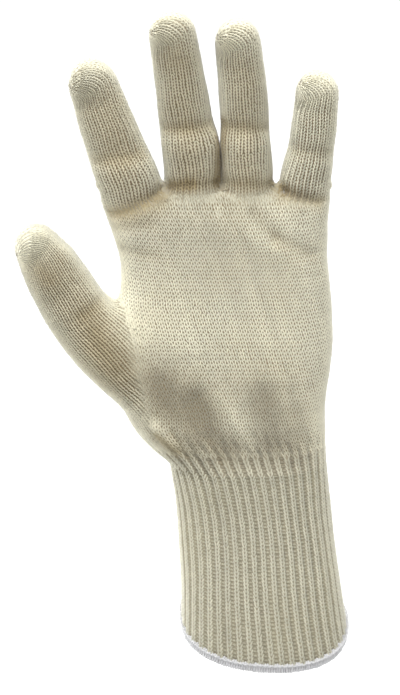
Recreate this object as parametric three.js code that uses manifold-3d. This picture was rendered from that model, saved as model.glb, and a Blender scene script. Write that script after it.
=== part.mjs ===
// Knitted glove liner for a left hand: a hollow palm, five finger stalls, a long rib cuff and an
// overlocked hem, in the open, filled-out form that the knit takes when it is worn.
// Millimetres. +Z runs up the arm to the fingertips, the palm faces -Y and the thumb lies on -X.
// The origin is the middle of the cuff's mouth, in the plane of the hem's lower edge.

import * as THREE from "three";
import { LoftGeometry } from "three/addons/geometries/LoftGeometry.js";
import { mergeVertices } from "three/addons/utils/BufferGeometryUtils.js";
import Module from "manifold-3d";

const wasm = await Module();
wasm.setup();

// Knit
const handWall = 1.6;
const seamGap = 0.3;

// Rib cuff: the wrist end sits nearer the thumb side than the mouth does
const cuffLength = 82;
const mouthWidth = 74;
const mouthDepth = 58;
const wristWidth = 68;
const wristDepth = 45;
const cuffLean = -8;
const grooveWall = 1.3;
const ribHeight = 0.9;
const ribCount = 44;
const ribShare = 0.58;

// Hem: a band of overlock thread under the cuff's edge. The mouth's plane is not square to the arm
const hemHeight = 3.6;
const hemThickness = 3.4;
const mouthTiltFront = 17.5;
const mouthTiltSide = -3.5;

// Palm, from the wrist to the webs between the fingers
const palmLength = 117;
const palmWidth = 90;
const palmDepth = 32;
const gatherCount = 10;
const gatherDepth = 0.7;

// Outlines: 2 is an ellipse, more is squarer
const cuffSquareness = 2.3;
const palmSquareness = 2.5;
const digitSquareness = 2.15;

// Facets
const palmSides = 40;
const digitSides = 16;
const liningSides = 12;
const hemSides = 8;
const hemSteps = 60;

// Cuff sections. up: share of the cuff's length. flare: 0 is the wrist's size, 1 the mouth's.
// lean: share of the cuff's lean. rib: share of the rib height.
const cuffRows = [
  { up: 0, flare: 1, lean: 0, rib: 1 },
  { up: 0.2, flare: 0.56, lean: 0.17, rib: 1 },
  { up: 0.5, flare: 0.12, lean: 0.46, rib: 1 },
  { up: 0.78, flare: -0.06, lean: 0.72, rib: 1 },
  { up: 0.92, flare: -0.03, lean: 0.9, rib: 0.85 },
  { up: 1, flare: 0, lean: 1, rib: 0.4 },
];

// Palm sections. up: share of the palm's length. wrist: 1 takes the wrist's size, 0 the palm's.
// across, width: shares of the palm's width. front, back, cup: shares of the palm's depth, where
// cup is the hollow in the middle of the palm. lean: how far the hand leans back from the arm,
// as a share of the palm's length. gather: share of the gathers' depth.
const palmRows = [
  { up: 0, wrist: 1, across: 0, width: 0.79, front: 0.7, back: 0.68, cup: 0, lean: 0, gather: 0.6 },
  { up: 0.05, wrist: 0, across: -0.036, width: 0.82, front: 0.72, back: 0.64, cup: 0.05, lean: 0.004, gather: 1 },
  { up: 0.12, wrist: 0, across: -0.076, width: 0.9, front: 0.74, back: 0.6, cup: 0.11, lean: 0.01, gather: 0.4 },
  { up: 0.214, wrist: 0, across: -0.088, width: 0.918, front: 0.71, back: 0.56, cup: 0.12, lean: 0.023, gather: 0 },
  { up: 0.3, wrist: 0, across: -0.094, width: 0.96, front: 0.66, back: 0.53, cup: 0.11, lean: 0.038, gather: 0 },
  { up: 0.4, wrist: 0, across: -0.099, width: 1, front: 0.6, back: 0.51, cup: 0.1, lean: 0.053, gather: 0 },
  { up: 0.581, wrist: 0, across: -0.105, width: 1.003, front: 0.53, back: 0.48, cup: 0.08, lean: 0.081, gather: 0 },
  { up: 0.752, wrist: 0, across: -0.119, width: 0.984, front: 0.5, back: 0.455, cup: 0.03, lean: 0.105, gather: 0 },
  { up: 0.863, wrist: 0, across: -0.1356, width: 1.017, front: 0.485, back: 0.425, cup: 0, lean: 0.119, gather: 0 },
  { up: 0.923, wrist: 0, across: -0.144, width: 1.034, front: 0.43, back: 0.39, cup: 0, lean: 0.122, gather: 0 },
  { up: 0.966, wrist: 0, across: -0.152, width: 1.03, front: 0.34, back: 0.34, cup: 0, lean: 0.123, gather: 0 },
  { up: 0.988, wrist: 0, across: -0.155, width: 1, front: 0.22, back: 0.22, cup: 0, lean: 0.123, gather: 0 },
  { up: 1, wrist: 0, across: -0.157, width: 0.97, front: 0.08, back: 0.08, cup: 0, lean: 0.123, gather: 0 },
];

// Digits. across, up: where the stall leaves the palm, from the wrist's middle, as shares of the
// palm's width and length. back: how far behind the arm's middle, as a share of the palm's length.
// long, wide: the stall's length and width, as shares of the palm's length and width.
// lean: degrees towards the thumb side.
// Each row is a section. along, side, forward: shares of the length, where negative along lies in
// the palm. width: share of the stall's width. front, back: shares of that section's width.
const digitTable = [
  {
    name: "thumb_stall",
    across: -0.79,
    up: 0.5538,
    back: 0.017,
    long: 0.395,
    wide: 0.327,
    lean: 29.5,
    rows: [
      { along: -1.6, side: 0.4, forward: 0.02, width: 0.98, front: 0.5, back: 0.41 },
      { along: -1.3, side: 0.29, forward: 0.012, width: 1.0, front: 0.66, back: 0.48 },
      { along: -0.98, side: 0.195, forward: 0.002, width: 0.93, front: 0.76, back: 0.52 },
      { along: -0.6, side: 0.085, forward: -0.008, width: 0.98, front: 0.69, back: 0.46 },
      { along: -0.24, side: 0.02, forward: -0.013, width: 1.01, front: 0.55, back: 0.44 },
      { along: 0, side: -0.015, forward: 0, width: 0.95, front: 0.48, back: 0.46 },
      { along: 0.14, side: -0.02, forward: 0.012, width: 0.93, front: 0.46, back: 0.45 },
      { along: 0.3, side: -0.014, forward: 0.027, width: 0.905, front: 0.43, back: 0.44 },
      { along: 0.44, side: -0.01, forward: 0.042, width: 0.865, front: 0.45, back: 0.44 },
      { along: 0.6, side: 0, forward: 0.062, width: 0.8, front: 0.46, back: 0.43 },
      { along: 0.76, side: 0.007, forward: 0.088, width: 0.7, front: 0.46, back: 0.43 },
      { along: 1, side: 0.03, forward: 0.143, width: 0.58, front: 0.46, back: 0.44 },
    ],
  },
  {
    name: "index_stall",
    across: -0.5433,
    up: 0.97,
    back: 0.123,
    long: 0.538,
    wide: 0.296,
    lean: 15.2,
    rows: [
      { along: -0.42, side: 0.05, forward: 0.02, width: 0.9, front: 0.42, back: 0.42 },
      { along: -0.18, side: 0.01, forward: 0.005, width: 0.97, front: 0.43, back: 0.43 },
      { along: 0, side: 0, forward: 0, width: 1, front: 0.42, back: 0.43 },
      { along: 0.12, side: 0, forward: 0.004, width: 0.985, front: 0.44, back: 0.43 },
      { along: 0.26, side: -0.012, forward: 0.015, width: 0.955, front: 0.445, back: 0.43 },
      { along: 0.37, side: -0.02, forward: 0.027, width: 0.915, front: 0.42, back: 0.44 },
      { along: 0.47, side: -0.026, forward: 0.042, width: 0.885, front: 0.44, back: 0.435 },
      { along: 0.6, side: -0.031, forward: 0.063, width: 0.84, front: 0.44, back: 0.43 },
      { along: 0.7, side: -0.032, forward: 0.082, width: 0.805, front: 0.42, back: 0.43 },
      { along: 0.82, side: -0.03, forward: 0.107, width: 0.77, front: 0.44, back: 0.42 },
      { along: 1, side: -0.03, forward: 0.15, width: 0.68, front: 0.44, back: 0.42 },
    ],
  },
  {
    name: "middle_stall",
    across: -0.2633,
    up: 1.007,
    back: 0.124,
    long: 0.661,
    wide: 0.2665,
    lean: 6.1,
    rows: [
      { along: -0.38, side: -0.01, forward: 0.02, width: 0.94, front: 0.43, back: 0.43 },
      { along: -0.16, side: -0.004, forward: 0.005, width: 0.98, front: 0.44, back: 0.44 },
      { along: 0, side: 0, forward: 0, width: 1, front: 0.43, back: 0.44 },
      { along: 0.12, side: 0.009, forward: 0.005, width: 1, front: 0.45, back: 0.44 },
      { along: 0.26, side: 0.009, forward: 0.02, width: 0.985, front: 0.455, back: 0.44 },
      { along: 0.37, side: 0.004, forward: 0.036, width: 0.935, front: 0.43, back: 0.45 },
      { along: 0.47, side: 0.001, forward: 0.054, width: 0.905, front: 0.45, back: 0.445 },
      { along: 0.6, side: -0.003, forward: 0.082, width: 0.87, front: 0.45, back: 0.44 },
      { along: 0.7, side: -0.006, forward: 0.106, width: 0.84, front: 0.43, back: 0.44 },
      { along: 0.82, side: -0.011, forward: 0.139, width: 0.82, front: 0.45, back: 0.43 },
      { along: 1, side: -0.014, forward: 0.195, width: 0.76, front: 0.45, back: 0.43 },
    ],
  },
  {
    name: "ring_stall",
    across: -0.0033,
    up: 1.005,
    back: 0.124,
    long: 0.6335,
    wide: 0.2445,
    lean: 4.1,
    rows: [
      { along: -0.38, side: -0.01, forward: 0.02, width: 0.94, front: 0.45, back: 0.45 },
      { along: -0.16, side: -0.004, forward: 0.005, width: 0.98, front: 0.46, back: 0.46 },
      { along: 0, side: 0, forward: 0, width: 1, front: 0.45, back: 0.46 },
      { along: 0.12, side: 0.003, forward: 0.005, width: 0.975, front: 0.47, back: 0.46 },
      { along: 0.26, side: 0.003, forward: 0.02, width: 0.94, front: 0.47, back: 0.46 },
      { along: 0.37, side: 0.004, forward: 0.036, width: 0.92, front: 0.44, back: 0.465 },
      { along: 0.47, side: 0.005, forward: 0.054, width: 0.92, front: 0.46, back: 0.455 },
      { along: 0.6, side: 0.004, forward: 0.082, width: 0.905, front: 0.46, back: 0.45 },
      { along: 0.7, side: 0, forward: 0.106, width: 0.88, front: 0.44, back: 0.45 },
      { along: 0.82, side: -0.004, forward: 0.139, width: 0.85, front: 0.455, back: 0.44 },
      { along: 1, side: -0.008, forward: 0.195, width: 0.79, front: 0.45, back: 0.43 },
    ],
  },
  {
    name: "little_stall",
    across: 0.253,
    up: 0.987,
    back: 0.123,
    long: 0.457,
    wide: 0.249,
    lean: -5.6,
    rows: [
      { along: -0.42, side: -0.09, forward: 0.02, width: 0.94, front: 0.42, back: 0.42 },
      { along: -0.2, side: -0.035, forward: 0.006, width: 0.99, front: 0.43, back: 0.43 },
      { along: 0, side: 0, forward: 0, width: 1, front: 0.42, back: 0.43 },
      { along: 0.12, side: 0.008, forward: 0.004, width: 0.955, front: 0.45, back: 0.44 },
      { along: 0.26, side: 0.017, forward: 0.015, width: 0.9, front: 0.46, back: 0.45 },
      { along: 0.37, side: 0.022, forward: 0.027, width: 0.855, front: 0.44, back: 0.46 },
      { along: 0.47, side: 0.022, forward: 0.042, width: 0.845, front: 0.46, back: 0.455 },
      { along: 0.6, side: 0.02, forward: 0.063, width: 0.83, front: 0.46, back: 0.45 },
      { along: 0.7, side: 0.017, forward: 0.082, width: 0.81, front: 0.44, back: 0.45 },
      { along: 0.82, side: 0.012, forward: 0.107, width: 0.79, front: 0.455, back: 0.44 },
      { along: 1, side: 0.004, forward: 0.15, width: 0.7, front: 0.45, back: 0.43 },
    ],
  },
];

const digits = digitTable.map((digit) => ({
  ...digit,
  length: digit.long * palmLength,
  width: digit.wide * palmWidth,
}));

// A round fingertip: angles from its widest section to the last, small one
const tipAngles = [20, 40, 58, 72, 83];

const knitMaterial = new THREE.MeshStandardMaterial({ color: 0xd9cfb2, roughness: 0.95, metalness: 0 });
const cuffMaterial = new THREE.MeshStandardMaterial({ color: 0xcfc6a6, roughness: 0.95, metalness: 0 });
const threadMaterial = new THREE.MeshStandardMaterial({ color: 0xe3e5ea, roughness: 0.8, metalness: 0 });

// A closed geometry as a solid for joining and cutting
function solidOf(geometry) {
  const bare = new THREE.BufferGeometry().copy(geometry);
  bare.deleteAttribute("normal");
  bare.deleteAttribute("uv");
  const merged = mergeVertices(bare);
  return new wasm.Manifold(
    new wasm.Mesh({
      numProp: 3,
      vertProperties: merged.attributes.position.array,
      triVerts: new Uint32Array(merged.index.array),
    }),
  );
}

// A solid back as a named mesh
function meshOf(name, solid, material) {
  const made = solid.getMesh();
  const geometry = new THREE.BufferGeometry();
  geometry.setAttribute("position", new THREE.BufferAttribute(new Float32Array(made.vertProperties), 3));
  geometry.setIndex(new THREE.BufferAttribute(new Uint32Array(made.triVerts), 1));
  geometry.computeVertexNormals();
  const mesh = new THREE.Mesh(geometry, material);
  mesh.name = name;
  return mesh;
}

function loft(sections) {
  return solidOf(new LoftGeometry(sections, { capStart: true, capEnd: true }));
}

// Reads a table's columns smoothly at any value of its first column
function smoothTable(rows, key) {
  const columns = Object.keys(rows[0]).filter((column) => column !== key);
  const curve = new THREE.CubicInterpolant(
    rows.map((row) => row[key]),
    rows.flatMap((row) => columns.map((column) => row[column])),
    columns.length,
  );
  return (at) => {
    const values = curve.evaluate(at);
    return Object.fromEntries(columns.map((column, i) => [column, values[i]]));
  };
}

// A power that keeps the sign, for squared-off ellipses
function signedPower(value, power) {
  return Math.sign(value) * Math.abs(value) ** power;
}

// A closed outline about a centre: half its width along `across`, its front and back depths along `deep`
function outline({ centre, across, deep }, { half, front, back, square, cup = 0 }, angles) {
  return angles.map((angle) => {
    const side = signedPower(Math.cos(angle), 2 / square);
    const depth = signedPower(Math.sin(angle), 2 / square);
    const hollow = depth < 0 ? cup * (1 - side * side) ** 2 : 0;
    return centre
      .clone()
      .addScaledVector(across, side * half)
      .addScaledVector(deep, depth * (depth < 0 ? front : back) + hollow);
  });
}

function evenAngles(count) {
  return Array.from({ length: count }, (_, i) => (2 * Math.PI * i) / count);
}

// Angles that share an ellipse's girth out evenly, at these shares of the way round
function anglesAtShares(shares, half, depth) {
  const steps = 720;
  const ellipse = new THREE.EllipseCurve(0, 0, half, depth, 0, 2 * Math.PI);
  ellipse.arcLengthDivisions = steps;
  return shares.map((share) => 2 * Math.PI * ellipse.getUtoTmapping(share));
}

const mouthSlopeFront = Math.tan(THREE.MathUtils.degToRad(mouthTiltFront));
const mouthSlopeSide = Math.tan(THREE.MathUtils.degToRad(mouthTiltSide));
const level = { across: new THREE.Vector3(1, 0, 0), deep: new THREE.Vector3(0, 1, 0) };

// Height of the mouth's plane
function mouthHeight(x, y) {
  return mouthSlopeSide * x + mouthSlopeFront * y;
}

// Cuff: shares of the way round at which each rib rises, runs flat, falls and leaves its groove
const ribShoulder = 0.07;
const ribShares = Array.from({ length: ribCount }, (_, rib) =>
  [ribShoulder, ribShare - ribShoulder, ribShare + ribShoulder, 1 - ribShoulder].map((part) => (rib + part) / ribCount),
).flat();
const isRidge = (index) => index % 4 < 2;

function cuffSize(row) {
  return {
    half: THREE.MathUtils.lerp(wristWidth, mouthWidth, row.flare) / 2,
    depth: THREE.MathUtils.lerp(wristDepth, mouthDepth, row.flare) / 2,
  };
}

// One ring round the cuff, `inset` inside the ribs' crests. Its height runs from the tilted mouth to the level wrist.
function cuffRing(row, inset, ribs) {
  const { half, depth } = cuffSize(row);
  const angles = anglesAtShares(ribs ? ribShares : evenAngles(ribCount).map((a) => a / (2 * Math.PI)), half, depth);
  const centre = new THREE.Vector3(cuffLean * row.lean, 0, 0);
  const size = (drop) => ({ half: half - drop, front: depth - drop, back: depth - drop, square: cuffSquareness });
  const crest = outline({ centre, ...level }, size(inset), angles);
  const groove = outline({ centre, ...level }, size(inset + ribHeight * row.rib), angles);
  const bottom = hemHeight + seamGap;
  return angles.map((_, i) => {
    const point = ribs && !isRidge(i) ? groove[i] : crest[i];
    point.z = THREE.MathUtils.lerp(mouthHeight(point.x, point.y) + bottom, cuffLength, row.up);
    return point;
  });
}

function makeCuff() {
  const outer = loft(cuffRows.map((row) => cuffRing(row, 0, true)));
  const past = 1 / cuffRows.length;
  const ends = [{ ...cuffRows[0], up: -past }, ...cuffRows, { ...cuffRows.at(-1), up: 1 + past }];
  const lining = loft(ends.map((row) => cuffRing(row, ribHeight + grooveWall, false)));
  return meshOf("rib_cuff", outer.subtract(lining), cuffMaterial);
}

// Hem: a rounded band swept round the mouth, with its lower edge in the mouth's plane
function makeHem() {
  const half = mouthWidth / 2 - hemThickness / 2;
  const depth = mouthDepth / 2 - hemThickness / 2;
  const shares = evenAngles(hemSteps).map((a) => a / (2 * Math.PI));
  const angles = anglesAtShares([...shares, 1], half, depth);
  const profile = outline(
    { centre: new THREE.Vector3(), ...level },
    { half: hemThickness / 2, front: hemHeight / 2, back: hemHeight / 2, square: 3 },
    evenAngles(hemSides).map((a) => a + Math.PI / hemSides),
  );
  const sections = angles.map((angle) => {
    const out = new THREE.Vector2(Math.cos(angle) / half, Math.sin(angle) / depth).normalize();
    return profile.map((p) => {
      const x = half * signedPower(Math.cos(angle), 2 / cuffSquareness) + out.x * p.x;
      const y = depth * signedPower(Math.sin(angle), 2 / cuffSquareness) + out.y * p.x;
      return new THREE.Vector3(x, y, mouthHeight(x, y) + hemHeight / 2 - p.y);
    });
  });
  return meshOf("hem_overlock", solidOf(new LoftGeometry(sections)), threadMaterial);
}

// Palm
const wristMiddle = new THREE.Vector3(cuffLean, 0, cuffLength);

function palmRing(row, inset) {
  const blend = (wristSize, share, whole) => THREE.MathUtils.lerp(share * whole, wristSize, row.wrist) - inset;
  const size = {
    half: blend(wristWidth / 2, row.width / 2, palmWidth),
    front: blend(wristDepth / 2, row.front, palmDepth),
    back: blend(wristDepth / 2, row.back, palmDepth),
    cup: row.cup * palmDepth,
    square: palmSquareness,
  };
  const centre = wristMiddle
    .clone()
    .add(new THREE.Vector3(row.across * palmWidth, row.lean * palmLength, row.up * palmLength));
  const angles = evenAngles(palmSides);
  return outline({ centre, ...level }, size, angles).map((point, i) => {
    const fold = (Math.cos(gatherCount * angles[i]) - 1) / 2;
    const out = point.clone().sub(centre).normalize();
    return point.addScaledVector(out, fold * row.gather * gatherDepth);
  });
}

// The palm's outer form, or its hollow when inset: the hollow starts below the wrist and stops short of the webs
function palmForm(inset) {
  const lower = 1 - inset / palmLength;
  const rows = palmRows.map((row) => ({ ...row, up: row.up * lower }));
  if (inset > 0) rows.unshift({ ...rows[0], up: -inset / palmLength });
  return loft(rows.map((row) => palmRing(row, inset)));
}

// Digits
function digitAxis(digit) {
  const read = smoothTable(digit.rows, "along");
  const lean = THREE.MathUtils.degToRad(digit.lean);
  const up = new THREE.Vector3(-Math.sin(lean), 0, Math.cos(lean));
  const right = new THREE.Vector3(Math.cos(lean), 0, Math.sin(lean));
  const base = wristMiddle
    .clone()
    .add(new THREE.Vector3(digit.across * palmWidth, digit.back * palmLength, digit.up * palmLength));
  const centreAt = (along) => {
    const row = read(along);
    return base
      .clone()
      .addScaledVector(up, along * digit.length)
      .addScaledVector(right, row.side * digit.length)
      .addScaledVector(level.deep, -row.forward * digit.length);
  };
  const step = 0.01;
  const frameAt = (along) => {
    const ahead = centreAt(Math.min(along + step, 1));
    const tangent = ahead.sub(centreAt(Math.min(along + step, 1) - 2 * step)).normalize();
    const across = new THREE.Vector3().crossVectors(level.deep, tangent).normalize();
    return { centre: centreAt(along), across, deep: new THREE.Vector3().crossVectors(tangent, across), tangent };
  };
  return { read, frameAt };
}

// One section of a digit. `shrink` rounds it off in the tip, and `inset` takes the wall off.
function digitRing(digit, along, shrink, inset, sides) {
  const { read, frameAt } = digitAxis(digit);
  const row = read(along);
  const width = row.width * digit.width;
  const size = {
    half: (width / 2 - inset) * shrink,
    front: (width * row.front - inset) * shrink,
    back: (width * row.back - inset) * shrink,
    square: digitSquareness,
  };
  return outline(frameAt(along), size, evenAngles(sides));
}

// A digit's form from one share of its length to another. Past the start of its tip, it is rounded off.
function digitForm(digit, from, to, inset) {
  const sides = inset > 0 ? liningSides : digitSides;
  const end = 1 - inset / digit.length;
  const tipRadius = (digit.rows.at(-1).width * digit.width) / 2 - inset;
  const tipStart = end - tipRadius / digit.length;
  const rows = digit.rows.map((row) => row.along).filter((along) => along > from && along < Math.min(to, tipStart));
  const stations = [from, ...rows, Math.min(to, tipStart)].map((along) => ({ along, shrink: 1 }));
  if (to > tipStart) {
    for (const angle of tipAngles.map(THREE.MathUtils.degToRad)) {
      stations.push({ along: tipStart + (end - tipStart) * Math.sin(angle), shrink: Math.cos(angle) });
    }
  }
  return loft(stations.map(({ along, shrink }) => digitRing(digit, along, shrink, inset, sides)));
}

// A slab that reaches from the plane across a digit's base towards its tip
function pastBase(digit, shift) {
  const { frameAt } = digitAxis(digit);
  const { centre, across, deep, tangent } = frameAt(0);
  const width = digit.width + 2 * seamGap;
  const height = digit.width;
  const slab = new THREE.BoxGeometry(width, palmDepth * 2, height);
  slab.applyMatrix4(new THREE.Matrix4().makeBasis(across, deep, tangent));
  slab.translate(...centre.addScaledVector(tangent, height / 2 + shift).toArray());
  return solidOf(slab);
}

function makeStall(digit) {
  const half = seamGap / 2 / digit.length;
  const outer = digitForm(digit, half, 1, 0);
  const hollow = digitForm(digit, half - handWall / digit.length, 1, handWall);
  return meshOf(digit.name, outer.subtract(hollow), knitMaterial);
}

function makePalm() {
  let outer = palmForm(0);
  for (const digit of digits) outer = outer.subtract(pastBase(digit, -seamGap / 2));
  let hollow = palmForm(handWall);
  for (const digit of digits) {
    const half = seamGap / 2 / digit.length;
    outer = outer.add(digitForm(digit, digit.rows[0].along, -half, 0));
    hollow = hollow.add(digitForm(digit, digit.rows[0].along, handWall / digit.length, handWall));
  }
  const floor = new THREE.BoxGeometry(4 * palmWidth, 4 * palmWidth, palmLength);
  floor.translate(0, 0, cuffLength + seamGap - palmLength / 2);
  return meshOf("palm", outer.subtract(hollow).subtract(solidOf(floor)), knitMaterial);
}

const glove = new THREE.Group();
glove.add(makePalm(), ...digits.map(makeStall), makeCuff(), makeHem());

export default glove;
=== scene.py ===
"""Looks of a knitted glove liner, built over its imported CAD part.

The glove's hand, its part above the cuff, is one smooth surface: a trunk from the wrist to the webs,
joined softly to a thumb and four fingers. Each of them carries its own grid of wales (columns) and
courses (rows), and every stitch on that grid is a pair of raised yarn legs. The cuff has its ribs as
relief with stitches on them, and the hem is thread wound round a band. Arrays are in millimetres until
they become meshes, in metres.
"""

import logging
import math
from collections.abc import Callable
from dataclasses import dataclass, field, replace
from enum import Enum

import bpy
import numpy as np
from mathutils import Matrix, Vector


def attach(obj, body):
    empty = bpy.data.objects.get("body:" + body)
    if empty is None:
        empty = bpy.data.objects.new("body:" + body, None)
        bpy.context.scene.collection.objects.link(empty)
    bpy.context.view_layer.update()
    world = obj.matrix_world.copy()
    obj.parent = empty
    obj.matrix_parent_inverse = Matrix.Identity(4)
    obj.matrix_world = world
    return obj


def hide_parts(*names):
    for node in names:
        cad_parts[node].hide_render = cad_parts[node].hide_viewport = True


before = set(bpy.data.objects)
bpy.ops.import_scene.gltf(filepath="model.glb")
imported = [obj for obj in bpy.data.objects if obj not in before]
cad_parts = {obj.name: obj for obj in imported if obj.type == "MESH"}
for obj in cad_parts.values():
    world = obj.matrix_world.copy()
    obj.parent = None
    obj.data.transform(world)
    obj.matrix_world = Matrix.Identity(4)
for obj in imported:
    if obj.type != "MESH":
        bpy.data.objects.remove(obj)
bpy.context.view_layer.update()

MM = 0.001
SEED = 11
OUTLINE_POINTS = 721
FAINTEST_LENGTH = 1e-12
log = logging.getLogger("glove_liner")
Array = np.ndarray


# ---- tables and small maths ----


class Table:
    """A table whose columns are read smoothly at any value of its first column."""

    def __init__(self, rows: tuple, samples: int = 700) -> None:
        """Fit a cubic through the rows, with each slope the weighted mean of its neighbours'.

        Args:
            rows: one tuple per row, its first value the key, in rising order.
            samples: how finely the cubic is sampled.
        """
        data = np.array(rows, float)
        key, values = data[:, 0], data[:, 1:]
        step = np.diff(key)[:, None]
        slope = np.diff(values, axis=0) / step
        tangent = np.vstack([slope[:1], slope[-1:]]).repeat([1, len(key) - 1], axis=0)
        tangent[1:-1] = (slope[:-1] * step[1:] + slope[1:] * step[:-1]) / (step[:-1] + step[1:])
        self.key = np.linspace(key[0], key[-1], samples)
        i = np.clip(np.searchsorted(key, self.key, side="right") - 1, 0, len(key) - 2)
        h = step[i]
        t = ((self.key - key[i])[:, None]) / h
        self.values = (
            (2 * t**3 - 3 * t**2 + 1) * values[i]
            + (t**3 - 2 * t**2 + t) * h * tangent[i]
            + (3 * t**2 - 2 * t**3) * values[i + 1]
            + (t**3 - t**2) * h * tangent[i + 1]
        )

    def __call__(self, at: Array) -> list:
        """Return one array per column, each shaped like `at`."""
        return [np.interp(at, self.key, column) for column in self.values.T]


def unit(vectors: Array) -> Array:
    """Return the vectors scaled to length one."""
    return vectors / np.maximum(np.linalg.norm(vectors, axis=-1, keepdims=True), FAINTEST_LENGTH)


def soft_join(a: Array, b: Array, reach: float) -> Array:
    """Return the lower of two distances, rounded off where they differ by less than `reach`."""
    close = np.maximum(reach - np.abs(a - b), 0) / reach
    return np.minimum(a, b) - close**2 * reach / 4


def signed_power(value: Array, power: object) -> Array:
    """Return |value| to a power, with value's sign."""
    return np.sign(value) * np.abs(value) ** power


def smooth_step(value: Array, low: float, high: float) -> Array:
    """Return 0 below `low`, 1 above `high` and a smooth rise between."""
    t = np.clip((value - low) / (high - low), 0, 1)
    return t * t * (3 - 2 * t)


def even_sections(
    half: Array, front: Array, back: Array, cup: Array, squareness: object, columns: int
) -> tuple:
    """Return the outlines of superellipse sections, each with its points at equal shares of the girth.

    Args:
        half: half width of each section.
        front: depth towards the palm's side.
        back: depth the other way.
        cup: depth of the hollow in the front, cup * (1 - (w / half)^2)^2.
        squareness: the superellipse's power, one for all or a column with one per section.
        columns: points in a section.

    Returns:
        Offsets across and offsets in depth, both sections by columns.
    """
    fine = np.linspace(0, 2 * math.pi, OUTLINE_POINTS)
    share, deep = signed_power(np.cos(fine), 2 / squareness), signed_power(np.sin(fine), 2 / squareness)
    hollow = np.where(deep < 0, cup[:, None] * (1 - share**2) ** 2, 0)
    w = share * half[:, None]
    d = deep * np.where(deep < 0, front[:, None] - hollow, back[:, None])
    length = np.cumsum(np.hypot(np.diff(w, axis=1), np.diff(d, axis=1)), axis=1)
    length = np.pad(length, ((0, 0), (1, 0)))
    want = np.linspace(0, 1, columns, endpoint=False)
    even = [np.interp(want * row[-1], row, fine) for row in length]
    w_even = np.array([np.interp(e, fine, row) for e, row in zip(even, w)])
    d_even = np.array([np.interp(e, fine, row) for e, row in zip(even, d)])
    return w_even, d_even


def turned(vectors: Array, axis: Array, angle: Array) -> Array:
    """Return vectors turned about an axis, v cos a + (k x v) sin a + k (k . v)(1 - cos a)."""
    c, s = np.cos(angle)[..., None], np.sin(angle)[..., None]
    return vectors * c + np.cross(axis, vectors) * s + axis * (vectors @ axis)[..., None] * (1 - c)


def gradient(value_of: Callable, points: Array, step: float = 0.05) -> Array:
    """Return the direction in which a field grows, from differences over a small step."""
    shifts = step * np.eye(3)
    return unit(np.stack([value_of(points + s) - value_of(points - s) for s in shifts], axis=-1))


def ring_quads(rows: int, columns: int, closed: bool) -> Array:
    """Return the quads of a grid whose rows are rings.

    Args:
        rows: rings.
        columns: points in a ring.
        closed: whether the last ring is joined to the first.

    Returns:
        Quads by 4.
    """
    i, j = np.arange(rows if closed else rows - 1)[:, None], np.arange(columns)
    low, high, k = i * columns, (i + 1) % rows * columns, (j + 1) % columns
    return np.stack([low + j, low + k, high + k, high + j], axis=-1).reshape(-1, 4)


# ---- the hand form ----


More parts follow.
